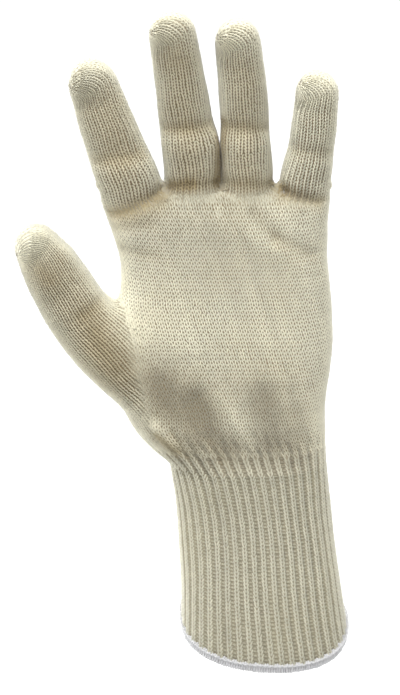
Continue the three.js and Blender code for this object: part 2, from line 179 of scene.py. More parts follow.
@dataclass
class Tube:
    """A tube of superellipse sections along a straight line, with a round end at its tip.

    base: where its line starts. lean: degrees that the line leans towards the thumb. tip: length to the
    round end. cap: the end's height. rows: along, side, forward, half width, front depth, back depth,
    palm hollow, in millimetres. join: how far round it the trunk's surface blends into it. root_cap:
    height of its buried end. course, wales: length of a course, and stitches in a ring. start: where
    its knit starts. pivot: in degrees round the tube, the side on which the tip closes. tilt: degrees
    by which the last rows tilt towards it. closing: how far below the tip they begin to. core: how
    far from the middle line the search for the tip's surface starts.
    """

    base: tuple
    lean: float
    tip: float
    cap: float
    rows: tuple
    squareness: float = 2.15
    join: float = 4.0
    root_cap: float = 6.0
    course: float = 1.34
    wales: int = 24
    start: float = -9.0
    pivot: float = 195.0
    tilt: float = 80.0
    closing: float = 11.0
    core: float = 2.5

    def __post_init__(self) -> None:
        """Set the tube's own axes and read its table."""
        lean = math.radians(self.lean)
        self.origin = np.array(self.base, float)
        self.up = np.array([-math.sin(lean), 0, math.cos(lean)])
        self.right = np.array([math.cos(lean), 0, math.sin(lean)])
        self.table = Table(self.rows)
        self.root = self.rows[0][0]

    def place(self, along: Array, across: Array, deep: Array) -> Array:
        """Return points from a distance along the tube and offsets from its straight line.

        Args:
            along: distances from the base.
            across: offsets to the right of the line.
            deep: offsets to the back of the hand.

        Returns:
            The points, origin + along * up + across * right, moved back by `deep`.
        """
        along, across, deep = np.broadcast_arrays(along, across, deep)
        out = self.origin + along[..., None] * self.up + across[..., None] * self.right
        out[..., 1] += deep
        return out

    def distance(self, points: Array) -> Array:
        """Return about how far each point is outside the tube, negative inside.

        The section's implicit value is (|w/half|^n + |d/depth|^n + |l/cap|^n)^(1/n), where l is how
        far the point is past the tube's ends. Less one, and divided by its own slope, it is a distance.

        Args:
            points: any array of points.

        Returns:
            One distance per point.
        """
        rel = points - self.origin
        along = rel @ self.up
        side, forward, half, front, back, cup = self.table(along)
        w, d = rel @ self.right - side, rel[..., 1] - forward
        hollow = cup * (1 - np.minimum(np.abs(w) / half, 1) ** 2) ** 2
        depth = np.where(d < 0, front - hollow, back)
        cap = np.where(along > self.tip, self.cap, self.root_cap)
        past = np.maximum(along - self.tip, 0) + np.maximum(self.root - along, 0)
        n = self.squareness
        parts = [np.abs(w) / half, np.abs(d) / depth, past / cap]
        value = np.maximum(sum(part**n for part in parts), 1e-9) ** (1 / n)
        slopes = [(part / value) ** (n - 1) / size for part, size in zip(parts, (half, depth, cap))]
        return (value - 1) / np.sqrt(sum(slope**2 for slope in slopes))

    def stations(self) -> tuple:
        """Lay the courses: even steps up to the tip, then even turns over the round end.

        Returns:
            The courses' distances along the tube, and their angles on the round end.
        """
        straight = np.arange(self.start, self.tip, self.course)
        turns = max(int(round(self.cap * math.pi / 2 / self.course)), 2)
        angle = np.linspace(0, math.pi / 2, turns, endpoint=False)
        along = np.concatenate([straight, np.full(turns, self.tip)])
        return along, np.concatenate([np.zeros_like(straight), angle])

    def rings(self, columns: int) -> tuple:
        """Return where each grid point's search starts and which way it goes.

        Rows below the tip start on the tube's own surface. The last ones start on its middle line, in
        planes that tilt more and more towards the pivot, the side on which the fingertip is closed.

        Args:
            columns: points in a ring.

        Returns:
            Starts and directions, rings by columns by 3.
        """
        along, angle = self.stations()
        side, forward, half, front, back, cup = self.table(along)
        w, d = even_sections(half, front, back, cup, self.squareness, columns)
        start = self.place(along[:, None], side[:, None] + w, forward[:, None] + d)
        out = gradient(self.distance, start)
        tipped = along > self.tip - self.closing
        flat = unit(w[tipped][..., None] * self.right + d[tipped][..., None] * np.array([0, 1.0, 0]))
        a = angle[tipped][:, None]
        pointing = flat * np.cos(a)[..., None] + self.up * np.sin(a)[..., None]
        toward = math.radians(self.pivot)
        q = math.cos(toward) * self.right + math.sin(toward) * np.array([0, 1.0, 0])
        share = 0.4 * smooth_step(along[tipped], self.tip - self.closing, self.tip + 4)
        share = share + 0.6 * angle[tipped] / (math.pi / 2)
        lean = math.radians(self.tilt) * share[:, None] * np.ones_like(w[tipped])
        pointing = turned(pointing, np.cross(self.up, q), lean)
        middle = self.place(along[tipped], side[tipped], forward[tipped])[:, None] * np.ones_like(pointing)
        start[tipped], out[tipped] = middle + self.core * pointing, pointing
        return start, out


# z, x, y, half width, front depth, back depth, palm hollow
TRUNK_ROWS = (
    (60, -5.5, 0, 33.8, 22.1, 22.1, 0),
    (75, -7.2, 0, 33.9, 22.3, 22.3, 0),
    (82, -8, 0, 34.2, 22.5, 22.5, 0),
    (87.8, -11.2, 0.5, 37, 23, 20.5, 1.6),
    (96, -14.8, 1.2, 40.5, 23.7, 19.2, 3.5),
    (107, -15.9, 2.7, 41.3, 22.7, 17.9, 3.8),
    (117.1, -16.5, 4.4, 43.2, 21.1, 17, 3.5),
    (128.8, -16.9, 6.2, 45, 19.2, 16.3, 3.2),
    (150, -17.4, 9.5, 45.1, 17, 15.4, 2.6),
    (170, -18.7, 12.3, 44.3, 16, 14.6, 1),
    (183, -20.2, 13.9, 45.8, 15.5, 13.6, 0),
    (190, -21, 14.3, 46.5, 13.8, 12.5, 0),
    (195, -21.7, 14.4, 46.4, 10.9, 10.9, 0),
    (197.6, -21.9, 14.4, 45, 7, 7, 0),
    (199, -22.1, 14.4, 43.6, 2.6, 2.6, 0),
)

TRUNK = Tube((0, 0, 0), 0, 199, 1, TRUNK_ROWS, squareness=2.5, wales=100, start=81.6, course=1.6)

# along, side, forward, half width, front depth, back depth, 0
THUMB = Tube(
    (-79.1, 2.0, 146.8),
    29.5,
    35.0,
    11.2,
    (
        (-73.9, 18.5, -0.9, 14.4, 14.4, 11.8, 0),
        (-60.1, 13.4, -0.6, 14.7, 19.0, 13.6, 0),
        (-45.3, 9, -0.1, 13.7, 19.8, 13.6, 0),
        (-27.7, 3.9, 0.4, 14.4, 18.9, 12.9, 0),
        (-11.1, 0.9, 0.6, 14.9, 16.3, 13.1, 0),
        (0, -0.7, 0, 14, 13.4, 12.9, 0),
        (6.5, -0.9, -0.6, 13.7, 12.6, 12.3, 0),
        (13.9, -0.6, -1.2, 13.3, 11.5, 11.7, 0),
        (20.3, -0.5, -1.9, 12.7, 11.5, 11.2, 0),
        (27.7, 0, -2.9, 11.8, 10.8, 10.1, 0),
        (35.1, 0.0, -4.1, 10.1, 9.5, 8.9, 0),
        (46.2, 0.6, -6.6, 8.2, 7.9, 7.5, 0),
    ),
    join=10.0,
    wales=34,
    start=-66.0,
    course=1.4,
    pivot=205.0,
    tilt=85.0,
)
INDEX = Tube(
    (-56.9, 14.4, 195.5),
    15.2,
    51.0,
    11.8,
    (
        (-26.4, 3.1, -1.3, 12, 10.1, 10.1, 0),
        (-11.3, 0.6, -0.3, 12.9, 11.1, 11.1, 0),
        (0, 0, 0, 13.3, 11.2, 11.5, 0),
        (7.6, 0, -0.3, 13.1, 11.5, 11.3, 0),
        (16.4, -0.8, -0.9, 12.7, 11.3, 10.9, 0),
        (23.3, -1.3, -1.7, 12.2, 10.2, 10.7, 0),
        (29.6, -1.6, -2.6, 11.8, 10.4, 10.3, 0),
        (37.8, -2, -4, 11.2, 9.8, 9.6, 0),
        (44.1, -2, -5.2, 10.7, 9, 9.2, 0),
        (51.6, -2.2, -6.7, 10.2, 9, 8.6, 0),
        (62.9, -2.6, -9.4, 8.6, 8, 7.6, 0),
    ),
    wales=26,
    pivot=200.0,
    tilt=85.0,
)
MIDDLE = Tube(
    (-31.7, 14.5, 199.8),
    6.1,
    66.3,
    10.9,
    (
        (-29.4, -0.8, -1.5, 11.3, 9.7, 9.7, 0),
        (-12.4, -0.3, -0.4, 11.8, 10.3, 10.3, 0),
        (0, 0.1, 0, 12.1, 10.3, 10.6, 0),
        (9.3, 1.0, -0.4, 12.2, 10.8, 10.6, 0),
        (20.1, 0.9, -1.5, 12.0, 10.7, 10.4, 0),
        (28.6, 0.3, -2.8, 11.2, 9.6, 10.1, 0),
        (36.3, 0.1, -4.2, 10.9, 9.8, 9.7, 0),
        (46.4, -0.2, -6.3, 10.4, 9.4, 9.2, 0),
        (54.1, -0.5, -8.2, 10.1, 8.7, 8.9, 0),
        (63.4, -0.9, -10.7, 9.8, 8.9, 8.5, 0),
        (77.3, -1.1, -15.1, 9.1, 8.2, 7.8, 0),
    ),
)
RING = Tube(
    (-8.3, 14.5, 199.6),
    4.1,
    63.6,
    10.4,
    (
        (-28.2, -0.7, -1.5, 10.3, 9.3, 9.3, 0),
        (-11.9, -0.3, -0.4, 10.8, 9.9, 9.9, 0),
        (0, -0.1, 0, 11.1, 9.9, 10.1, 0),
        (8.9, -0.1, -0.4, 10.9, 10.1, 9.9, 0),
        (19.3, -0.1, -1.5, 10.5, 9.7, 9.5, 0),
        (27.4, 0.3, -2.7, 10.1, 8.9, 9.4, 0),
        (34.8, 0.4, -4, 10.1, 9.3, 9.2, 0),
        (44.5, 0.3, -6.1, 10, 9.2, 9, 0),
        (51.9, 0, -7.9, 9.7, 8.5, 8.7, 0),
        (60.8, -0.3, -10.3, 9.4, 8.5, 8.2, 0),
        (74.1, -0.6, -14.5, 8.7, 7.8, 7.5, 0),
    ),
    wales=23,
    pivot=200.0,
    tilt=80.0,
)
LITTLE = Tube(
    (14.8, 14.4, 197.5),
    -5.6,
    44.0,
    9.4,
    (
        (-22.5, -4.8, -1.1, 10.5, 8.8, 8.8, 0),
        (-10.7, -1.9, -0.3, 11.1, 9.5, 9.5, 0),
        (0, 0, 0, 11.2, 9.4, 9.6, 0),
        (6.4, 0.4, -0.2, 10.7, 9.6, 9.4, 0),
        (13.9, 0.9, -0.8, 10.1, 9.3, 9.1, 0),
        (19.8, 1.2, -1.4, 9.6, 8.4, 8.8, 0),
        (25.1, 1.2, -2.2, 9.5, 8.7, 8.6, 0),
        (32.1, 1.1, -3.4, 9.3, 8.6, 8.4, 0),
        (37.4, 0.9, -4.4, 9.1, 8, 8.2, 0),
        (43.8, 0.6, -5.7, 8.9, 8.1, 7.8, 0),
        (53.5, 0.2, -8, 7.8, 7.1, 6.7, 0),
    ),
    wales=22,
    pivot=195.0,
    tilt=75.0,
)
DIGITS = (THUMB, INDEX, MIDDLE, RING, LITTLE)
TUBES = (TRUNK, *DIGITS)


@dataclass
class HandForm:
    """The glove's hand as one surface: the trunk softly joined to each digit, the digits kept apart.

    sunk: how far the fabric's ground lies under the glove's outer size. gore: two points, x and z, of
    the line where the thumb's knit meets the palm's. laps: how far each tube's knit reaches in under
    its neighbours'. lap_depth: how deep a lap sinks. web: where a finger's knit starts, along it.
    steps, halvings: how finely the search for the surface goes.
    """

    sunk: float = 0.38
    gore: tuple = ((-60.5, 152.0), (-50.0, 104.9))
    laps: tuple = (0.35, 4.0, 1.6, 1.6, 1.6, 1.6)
    lap_depth: float = 0.45
    web: float = -3.0
    steps: int = 33
    halvings: int = 14

    def distance(self, points: Array) -> Array:
        """Return about how far each point is outside the hand.

        It is the least of the trunk's distance joined softly to each digit's, plus `sunk`.

        Args:
            points: any array of points.

        Returns:
            One distance per point, negative inside.
        """
        trunk = TRUNK.distance(points)
        each = [soft_join(trunk, digit.distance(points), digit.join) for digit in DIGITS]
        return np.minimum.reduce(each) + self.sunk

    def normal(self, points: Array) -> Array:
        """Return the outward direction at each point."""
        return gradient(self.distance, points)

    def claims(self, points: Array) -> Array:
        """Return how firmly each tube's knit holds each point, tubes first: the lowest has it.

        A tube's claim is its own distance. The thumb gives way beyond the gore line, and a finger
        below its web.

        Args:
            points: any array of points.

        Returns:
            The claims, tubes by points.
        """
        low, high = np.array(self.gore[1]), np.array(self.gore[0])
        ahead = (high - low) / np.linalg.norm(high - low)
        rel = points[..., (0, 2)] - low
        past_gore = rel[..., 0] * ahead[1] - rel[..., 1] * ahead[0]
        claims = [tube.distance(points) for tube in TUBES]
        claims[1] = np.maximum(claims[1], claims[0] + past_gore)
        for number, digit in enumerate(DIGITS[1:], start=2):
            below = self.web - (points - digit.origin) @ digit.up
            claims[number] = np.maximum(claims[number], claims[0] + below)
        return np.stack(claims)

    def owner(self, points: Array) -> Array:
        """Return the number of the tube whose knit covers each point."""
        return np.argmin(self.claims(points), axis=0)

    def lapped(self, points: Array, number: int) -> tuple:
        """Find where a tube's knit lies, its lap under the neighbours included.

        Args:
            points: points on the surface.
            number: the tube's number.

        Returns:
            Whether the knit lies at each point, and how deep it sinks under its neighbours there.
        """
        claims = self.claims(points)
        under = claims[number] - claims.min(axis=0)
        return under <= self.laps[number], self.lap_depth * smooth_step(under, 0.3, 1.2)

    def settle(self, start: Array, out: Array, search: float = 12.0) -> tuple:
        """Slide points out along given directions until they reach the hand's surface.

        The first change of sign on evenly spaced steps is closed in on by halving.

        Args:
            start: where the points start.
            out: the directions, of length one.
            search: how far to look.

        Returns:
            The points, and whether each one starts inside and finds the surface within the search length.
        """
        steps = np.linspace(0, search, self.steps)
        start = start - 0.5 * out
        values = self.distance(start[..., None, :] + steps[:, None] * out[..., None, :])
        outside = values >= 0
        found = outside.any(axis=-1) & (values[..., 0] < 0.4)
        first = np.argmax(outside, axis=-1)
        high = steps[first]
        low = steps[np.maximum(first - 1, 0)]
        for _ in range(self.halvings):
            middle = (low + high) / 2
            inside = self.distance(start + middle[..., None] * out) < 0
            low, high = np.where(inside, middle, low), np.where(inside, high, middle)
        return start + high[..., None] * out, found


HAND = HandForm()


def surface_net(field_of: Callable, low: tuple, high: tuple, step: float) -> tuple:
    """Return the zero surface of a field as vertices and outward quads.

    Each cell that the surface crosses gets one vertex, the mean of the crossings on its edges, and
    each crossed edge gets one quad between the four cells round it.

    Args:
        field_of: gives the field at an array of points, negative inside.
        low: lowest corner of the searched box.
        high: highest corner of the searched box.
        step: size of a cell.

    Returns:
        Vertices by 3, and quads by 4.
    """
    axes = [np.arange(a, b + step, step) for a, b in zip(low, high)]
    grid = np.stack(np.meshgrid(*axes, indexing="ij"), axis=-1)
    value = field_of(grid)
    cells = tuple(np.array(value.shape) - 1)
    total, count = np.zeros((*cells, 3)), np.zeros(cells)
    edges = []
    for axis in range(3):
        v, g = np.moveaxis(value, axis, 0), np.moveaxis(grid, axis, 0)
        a, b = v[:-1], v[1:]
        crossed = (a < 0) != (b < 0)
        share = np.where(crossed, a / np.where(crossed, a - b, 1), 0)
        point = g[:-1] + share[..., None] * (g[1:] - g[:-1])
        edges.append((crossed, a < 0))
        t, c = np.moveaxis(total, axis, 0), np.moveaxis(count, axis, 0)
        rows, columns = a.shape[1] - 1, a.shape[2] - 1
        for i in (0, 1):
            for j in (0, 1):
                part = np.s_[:, i : rows + i, j : columns + j]
                c += crossed[part]
                t += crossed[part][..., None] * point[part]
    used = count > 0
    number = np.full(cells, -1)
    number[used] = np.arange(used.sum())
    quads = []
    for axis, (crossed, rising) in enumerate(edges):
        n = np.moveaxis(number, axis, 0)
        inner = crossed[:, 1:-1, 1:-1]
        corners = [n[:, :-1, :-1], n[:, 1:, :-1], n[:, 1:, 1:], n[:, :-1, 1:]]
        quad = np.stack([corner[inner] for corner in corners], axis=-1)
        forward = rising[:, 1:-1, 1:-1][inner] ^ (axis == 1)
        quads.append(np.where(forward[:, None], quad, quad[:, ::-1]))
    return total[used] / count[used][:, None], np.concatenate(quads)


# ---- soft relief: folds, creases and pads ----


@dataclass(frozen=True)
class Fold:
    """A soft ridge or crease between two points of the front or back, in millimetres.

    start, end: x and z of its ends. width: half its breadth. height: above zero for a ridge.
    warm: how much painted shade, deep and yellow, lies in it. shade: how much painted light, or below
    zero painted shade, as a step of the tone. front: True on the palm's side, False on the back, None
    all round. close: how far the gaps between the stitches close up: the stitches sit lower and the
    painted shade in the gaps turns paler.
    """

    start: tuple
    end: tuple
    width: float
    height: float
    warm: float = 0.0
    shade: float = 0.0
    front: bool | None = True
    close: float = 0.0

    def bell(self, points: Array, normals: Array) -> Array:
        """Return how strongly the fold acts: exp(-(distance / width)^2), on its own side of the hand.

        Args:
            points: points on the surface.
            normals: their outward directions.

        Returns:
            A share from 0 to 1 per point.
        """
        a, b = np.array(self.start, float), np.array(self.end, float)
        p = points[..., (0, 2)] - a
        t = np.clip((p @ (b - a)) / max((b - a) @ (b - a), 1e-9), 0, 1)
        gap = np.linalg.norm(p - t[..., None] * (b - a), axis=-1)
        if self.front is None:
            return np.exp(-((gap / self.width) ** 2))
        facing = smooth_step(normals[..., 1] * (1 - 2 * self.front), 0.1, 0.55)
        return np.exp(-((gap / self.width) ** 2)) * facing


FOLDS = (
    # palm: the band across it, its creases, the ball of the thumb, the hollows above the wrist and the ridge
    # between. Painted shade, deep and warm, lies in the creases, the hollows and over the lower palm and
    # wrist, and painted light on the ridges, the ball of the thumb and the palm's edges on the thumb's side.
    Fold((-22.4, 186.6), (23.7, 159.8), 6, 0.7),
    Fold((-12, 187), (3, 175), 4, 0.9, 0, 0.6),
    Fold((-6, 191), (3, 181), 3, -1.1, 0.1, -1.8),
    Fold((3, 181), (18, 172.5), 3, -1.1, 0.16, -2.4),
    Fold((-57, 147), (-36, 138), 11, 1.4, 0, 1.4),
    Fold((-58, 152), (-52, 147), 7, 0, 0, 0.8, True, 0.4),
    Fold((-63, 188), (-61, 156), 6, 0, 0, 2.6, True, 0.2),
    Fold((-30, 113), (-16, 92.7), 6, -2.2, 0.16, -8.0),
    Fold((-20.5, 115.5), (-6, 93), 2.1, 0.7, 0, 1.6),
    Fold((-1.5, 111.5), (2, 96), 8.5, -2.2, 0.16, -8.2),
    Fold((12, 108), (13, 95), 5, -0.6, 0.1, -3.5),
    Fold((-60, 130), (-46, 121), 9, -0.4, 0.12, -4.8),
    Fold((-46, 121), (-30, 108), 8, -0.8, 0.12, -5.5),
    Fold((-43, 110), (-30, 98), 7, -0.6, 0.14, -4.8),
    Fold((-47, 99), (-38.8, 91.5), 2.2, -0.7, 0.6, -4.0),
    Fold((-55, 109.5), (-36, 92), 3, 0.5, 0, 2.0, True, 0.3),
    Fold((-40, 120), (10, 117), 13, 0, 0.04, -2.8),
    Fold((-72, 143), (-62, 124), 7, 0, 0.26, -1.2),
    Fold((-34, 91), (14, 90), 8, 0, 0.1, -5.0),
    Fold((22.7, 115), (23, 88), 4, 0.6, 0, -0.6, True, 0.4),
    # palm: a band of painted shade under the finger roots, and two faint creases at its thumb side with
    # painted shade in them
    Fold((-50, 186), (-12, 188), 9, 0, 0.03, -3.7),
    Fold((-44, 198.2), (14, 197.4), 5, 0, 0.05, -6.2),
    Fold((-60, 189), (-46, 195), 4.5, -0.4, 0.26, -3.2),
    Fold((-65.4, 182.5), (-49.5, 186.6), 3, -0.6, 0.2, -1),
    Fold((-61.2, 174.3), (-47.4, 173.1), 3, -0.4, 0.16, -1),
    # digits: painted shade, deep and warm, down the middles of their shafts, a painted highlight on the
    # ring finger's pad, and painted shadow where the middle and ring fingers, and the ring and little
    # fingers, meet
    Fold((-69.3, 129.4), (-91.9, 169.4), 10, 0, 0.34),
    Fold((-76, 150), (-70, 138), 6, 0, 0.15, -2.5),
    Fold((-95, 170), (-92, 166), 4, -0.2, 0.3, -3.0),
    Fold((-59, 203.2), (-67.5, 235), 9, 0, 0.32),
    Fold((-32.5, 207.8), (-37.6, 255.5), 8.5, 0, 0.36),
    Fold((-8.9, 207.6), (-12, 251.5), 8, 0, 0.26),
    Fold((-12, 221), (-3, 214), 5, 0, 0, 2.0),
    Fold((-20.3, 229), (-21, 202), 2.4, 0, 0.9, -9, None),
    Fold((3, 202), (5.5, 199.5), 3, -0.6, 0.7, -5.5, None),
    # gathers at the wrist, with painted shade in the creases between them
    Fold((-39.6, 91.5), (-47.5, 102.7), 1.8, 0.9),
    Fold((-34, 90), (-41, 100.6), 1.6, -0.8, 0.2),
    Fold((-26.1, 89.1), (-33.5, 99.6), 1.7, 0.8),
    Fold((-19.5, 88), (-24.8, 97), 1.6, -0.7, 0.2),
    Fold((-11.7, 88), (-16.8, 99), 1.7, 0.6),
    Fold((9.7, 88), (7.8, 101), 2, 0.6),
    # finger roots: creases, with painted shade in them, deep and warm
    Fold((-66, 189), (-45, 197.5), 3.2, -1.2, 0.65, -1.0),
    Fold((-42, 201.3), (-34, 202.3), 3, -1.2, 0.9, -2.5),
    Fold((-32, 202.5), (-22.4, 202.9), 3, -0.9, 0.35),
    Fold((-19.5, 202.9), (0.5, 202), 3, -0.9, 0.35),
    Fold((6, 198.3), (21, 194.6), 2.8, -1.1, 0.6),
    # finger joints: creases with painted shade in them, and pads below
    Fold((-76.5, 211.8), (-50.1, 216.3), 3, -0.7, 0.25, -0.6),
    Fold((-75, 202.5), (-52, 207.5), 6, 0.5),
    Fold((-45, 226.6), (-23.3, 227.8), 3, -0.8, 0.3, -0.8),
    Fold((-44, 219), (-24, 219), 6, 0.8),
    Fold((-19.6, 227.9), (-0.7, 226.6), 3, -0.8, 0.3, -0.8),
    Fold((-19, 219), (-2, 219), 6, 0.8),
    Fold((9.3, 216.3), (25.7, 216.3), 3, -0.6, 0.18, -0.8),
    Fold((-78.5, 150), (-66, 158), 3, -0.6, 0.2),
    # fingertips: painted light where they face up into the light, with the gaps closed up: the stitches
    # sit lower and the gaps' painted shade turns paler
    Fold((-99, 184), (-103, 175), 9, 0, 0, 5.0, True, 0.9),
    Fold((-74, 250), (-72, 254), 7, 0, 0, 1.8, True, 0.6),
    Fold((-42, 272), (-38, 276), 8, 0, 0, 4.0, True, 0.6),
    Fold((-17, 268), (-12, 272), 8, 0, 0, 6.0, True, 0.6),
    Fold((15, 246), (22, 248), 8, 0, 0, 5.0, True, 0.6),
    # painted light on the little finger
    Fold((17, 222), (20, 238), 7, 0, 0, 3.5),
    # back of the hand: knuckles, and the stretch over the finger joints
    Fold((-55, 186), (-52, 189), 7, 1.4, 0, 0, False),
    Fold((-31, 190), (-30, 193), 7, 1.5, 0, 0, False),
    Fold((-9, 190), (-8, 193), 7, 1.3, 0, 0, False),
    Fold((11, 186), (12, 189), 6, 1.1, 0, 0, False),
    Fold((-43, 184), (-36, 150), 5, -0.6, 0, 0, False),
    Fold((-19, 186), (-20, 150), 5, -0.6, 0, 0, False),
    Fold((2, 184), (-5, 150), 5, -0.5, 0, 0, False),
    Fold((-70, 221), (-57, 224), 2.5, 0.6, 0, 0, False),
    Fold((-42, 232), (-29, 232), 2.5, 0.6, 0, 0, False),
    Fold((-18, 231), (-6, 231), 2.5, 0.6, 0, 0, False),
    Fold((11, 222), (23, 222), 2.5, 0.5, 0, 0, False),
    # a crease at the back of the wrist, with a little painted shade in it
    Fold((-34, 92), (6, 91), 3, -0.8, 0.15, 0, False),
)

# height of the faint unevenness all over
UNEVENNESS = 0.1


def relief(points: Array, normals: Array) -> Array:
    """Move the points by every fold, with a faint unevenness all over, the product of two sines.

    Args:
        points: points on the surface.
        normals: their outward directions.

    Returns:
        The moved points.
    """
    lift = sum(fold.height * fold.bell(points, normals) for fold in FOLDS)
    x, y, z = np.moveaxis(points, -1, 0)
    lift = lift + UNEVENNESS * np.sin(0.31 * x + 0.17 * z + 1.3) * np.sin(0.23 * z - 0.19 * x + 0.3 * y)
    return points + lift[..., None] * normals


def tint(points: Array, normals: Array, name: str) -> Array:
    """Return the sum over the folds of one of their looks at each point: warm or shade, their painted
    shade and light, or close.
    """
    return sum(getattr(fold, name) * fold.bell(points, normals) for fold in FOLDS if getattr(fold, name))


# ---- ribs ----


@dataclass(frozen=True)
class Ribs:
    """The cuff's ribs, which run a little way up into the palm and fade there.

    count: ribs round the wrist. share: a ridge's share of a rib. depth: of a groove. start, end:
    heights between which the grooves fade. last: height of the last course knitted in rib.
    """

    count: int = 44
    share: float = 0.62
    depth: float = 1.0
    start: float = 82.0
    end: float = 104.0
    last: float = 89.5

    def ridge(self, u: Array) -> Array:
        """Return the profile across the ribs, with soft shoulders.

        Args:
            u: places as shares of the way round.

        Returns:
            1 on a ridge and 0 in a groove.
        """
        across = np.abs((u * self.count) % 1 - self.share / 2)
        across = np.minimum(across, 1 - across)
        return 1 - smooth_step(across, self.share / 2 - 0.1, self.share / 2 + 0.13)

    def fade(self, height: Array) -> Array:
        """Return the grooves' depth as a share, 1 at the wrist and 0 where the palm is smooth."""
        return 1 - smooth_step(height, self.start, self.end)

    def middles(self, groove: bool) -> Array:
        """Return the middles of the ridges or the grooves, as shares of the way round."""
        middle = (1 + self.share) / 2 if groove else self.share / 2
        return (np.arange(self.count) + middle) / self.count

    def width(self, groove: bool) -> float:
        """Return the width of a ridge or a groove, as a share of the way round."""
        return (1 - self.share if groove else self.share) / self.count


RIBS = Ribs()


# ---- patches: grids of wales and courses ----

# a grid stretched beyond these carries no stitches
WIDEST_WALE, LONGEST_COURSE = 3.8, 3.6
# how far the backing lies under the stitches
GROUND = 0.22
# heights, in the trunk, of its last ring, of the last section that its rays follow, and of a whole ring
TRUNK_TOP, LAST_SECTION, LAST_CLOSED_RING = 201.0, 188.0, 193.0


@dataclass
class Patch:
    """A closed grid of points on the knit's surface, rows by columns, with its outward directions."""

    points: Array
    normals: Array
    owned: Array

    def sample(self, u: Array, v: Array) -> tuple:
        """Return points and directions at shares of the way round and at row numbers.

        Both are mixed linearly from the four grid points around.

        Args:
            u: shares of the way round.
            v: row numbers.

        Returns:
            Points and outward directions, each shaped like `u` with 3 more.
        """
        rows, columns = self.owned.shape
        x = (u % 1) * columns
        y = np.clip(v, 0, rows - 1.001)
        i, j = x.astype(int) % columns, y.astype(int)
        s, t = (x - np.floor(x))[..., None], (y - j)[..., None]
        k = (i + 1) % columns

        def mix(grid: Array) -> Array:
            """Mix a grid's four neighbours.

            Args:
                grid: values on the grid.

            Returns:
                Their mean, weighted by nearness.
            """
            lower = grid[j, i] * (1 - s) + grid[j, k] * s
            upper = grid[j + 1, i] * (1 - s) + grid[j + 1, k] * s
            return lower * (1 - t) + upper * t

        return mix(self.points), unit(mix(self.normals))

    def holds(self, u: Array, v: Array) -> Array:
        """Tell whether the grid owns the point nearest to each place.

        Args:
            u: shares of the way round.
            v: row numbers.

        Returns:
            True where it does.
        """
        rows, columns = self.owned.shape
        i = np.round((u % 1) * columns).astype(int) % columns
        j = np.clip(np.round(v).astype(int), 0, rows - 1)
        return self.owned[j, i]


def trunk_grid(columns: int) -> tuple:
    """Lay rings round the whole hand at even heights, the thumb's ball included.

    Rays leave a flat skeleton in the trunk's middle plane: straight forward and back along its
    length, and in fans at its ends. Each ring is then shared out by its length, from the edge on the
    little finger's side both ways, at the trunk's own pitch where the thumb makes the ring longer. Near
    the wrist what a ring is longer than the lowest one goes to the thumb's side, as share^power. The
    rings above the last closed one are cut by the fingers' gaps, and are shared out by its lengths.

    Args:
        columns: points in a ring.

    Returns:
        Points, whether each is on the surface, and the rings' heights.
    """
    along = np.arange(TRUNK.start, TRUNK_TOP, TRUNK.course)
    side, forward, half, front, back, cup = TRUNK.table(np.minimum(along, LAST_SECTION))
    straight = np.linspace(1, -1, 72)
    place = np.concatenate([np.ones(16), straight, -np.ones(46), -straight, np.ones(17)])
    fans = np.linspace(0, 88, 16), np.linspace(92, 268, 46), np.linspace(272, 360, 17)
    turn = np.radians(np.concatenate([fans[0], np.full(72, 90), fans[1], np.full(72, 270), fans[2]]))
    start = TRUNK.place(along[:, None], side[:, None] + place * (half[:, None] - 11), forward[:, None])
    out = np.stack([np.cos(turn), np.sin(turn), 0 * turn], axis=-1) * np.ones((len(along), 1, 1))
    fine, found = HAND.settle(start, out, 32.0)
    w, d = even_sections(half, front, back, cup, TRUNK.squareness, columns)
    own = np.hypot(np.diff(w, axis=1, append=w[:, :1]), np.diff(d, axis=1, append=d[:, :1])).sum(axis=1)
    length = np.pad(np.cumsum(np.linalg.norm(np.diff(fine, axis=1), axis=-1), axis=1), ((0, 0), (1, 0)))
    last = np.searchsorted(along, LAST_CLOSED_RING) - 1
    extra = length[:, -1] - own
    girth = own + extra * (1 - smooth_step(extra, 3, 14))
    power = 1.6 - 0.6 * smooth_step(along, 90, 125)
    u = np.arange(columns) / columns
    share = np.minimum(u, 1 - u) * 2
    points, on = np.empty((len(along), columns, 3)), np.empty((len(along), columns), bool)
    for row, ring in enumerate(length):
        source = min(row, last)
        reach = (girth[0] * share + (girth[source] - girth[0]) * share ** power[source]) / 2
        want = np.where(u < 0.5, reach, length[source, -1] - reach)
        points[row] = np.stack([np.interp(want, length[source], axis) for axis in fine[row].T], axis=-1)
        on[row] = np.interp(want, length[source], found[row]) > 0.99
    return points, on, along


def hand_patch(tube: Tube, columns: int) -> tuple:
    """Lay a tube's grid on the hand's surface, and sink it between the ribs where the cuff begins.

    Args:
        tube: the trunk or a digit.
        columns: points in a ring.

    Returns:
        The patch, and each row's height or distance along the tube.
    """
    if tube is TRUNK:
        points, found, along = trunk_grid(columns)
    else:
        start, out = tube.rings(columns)
        points, found = HAND.settle(start, out)
        along = tube.stations()[0]
    normals = HAND.normal(points)
    owned, under = HAND.lapped(points, TUBES.index(tube))
    owned &= found
    points = relief(points, normals) - under[..., None] * normals
    if tube is TRUNK:
        spread = np.linalg.norm(np.roll(points, -1, axis=1) - points, axis=-1) * columns / tube.wales
        climb = np.linalg.norm(np.gradient(points, axis=0), axis=-1)
        owned &= (spread < WIDEST_WALE) & (climb < LONGEST_COURSE)
        groove = 1 - RIBS.ridge(np.arange(columns)[None, :] / columns)
        sink = RIBS.depth * RIBS.fade(along[:, None]) * groove
        points = points - sink[..., None] * normals
    return Patch(points, normals, owned), along


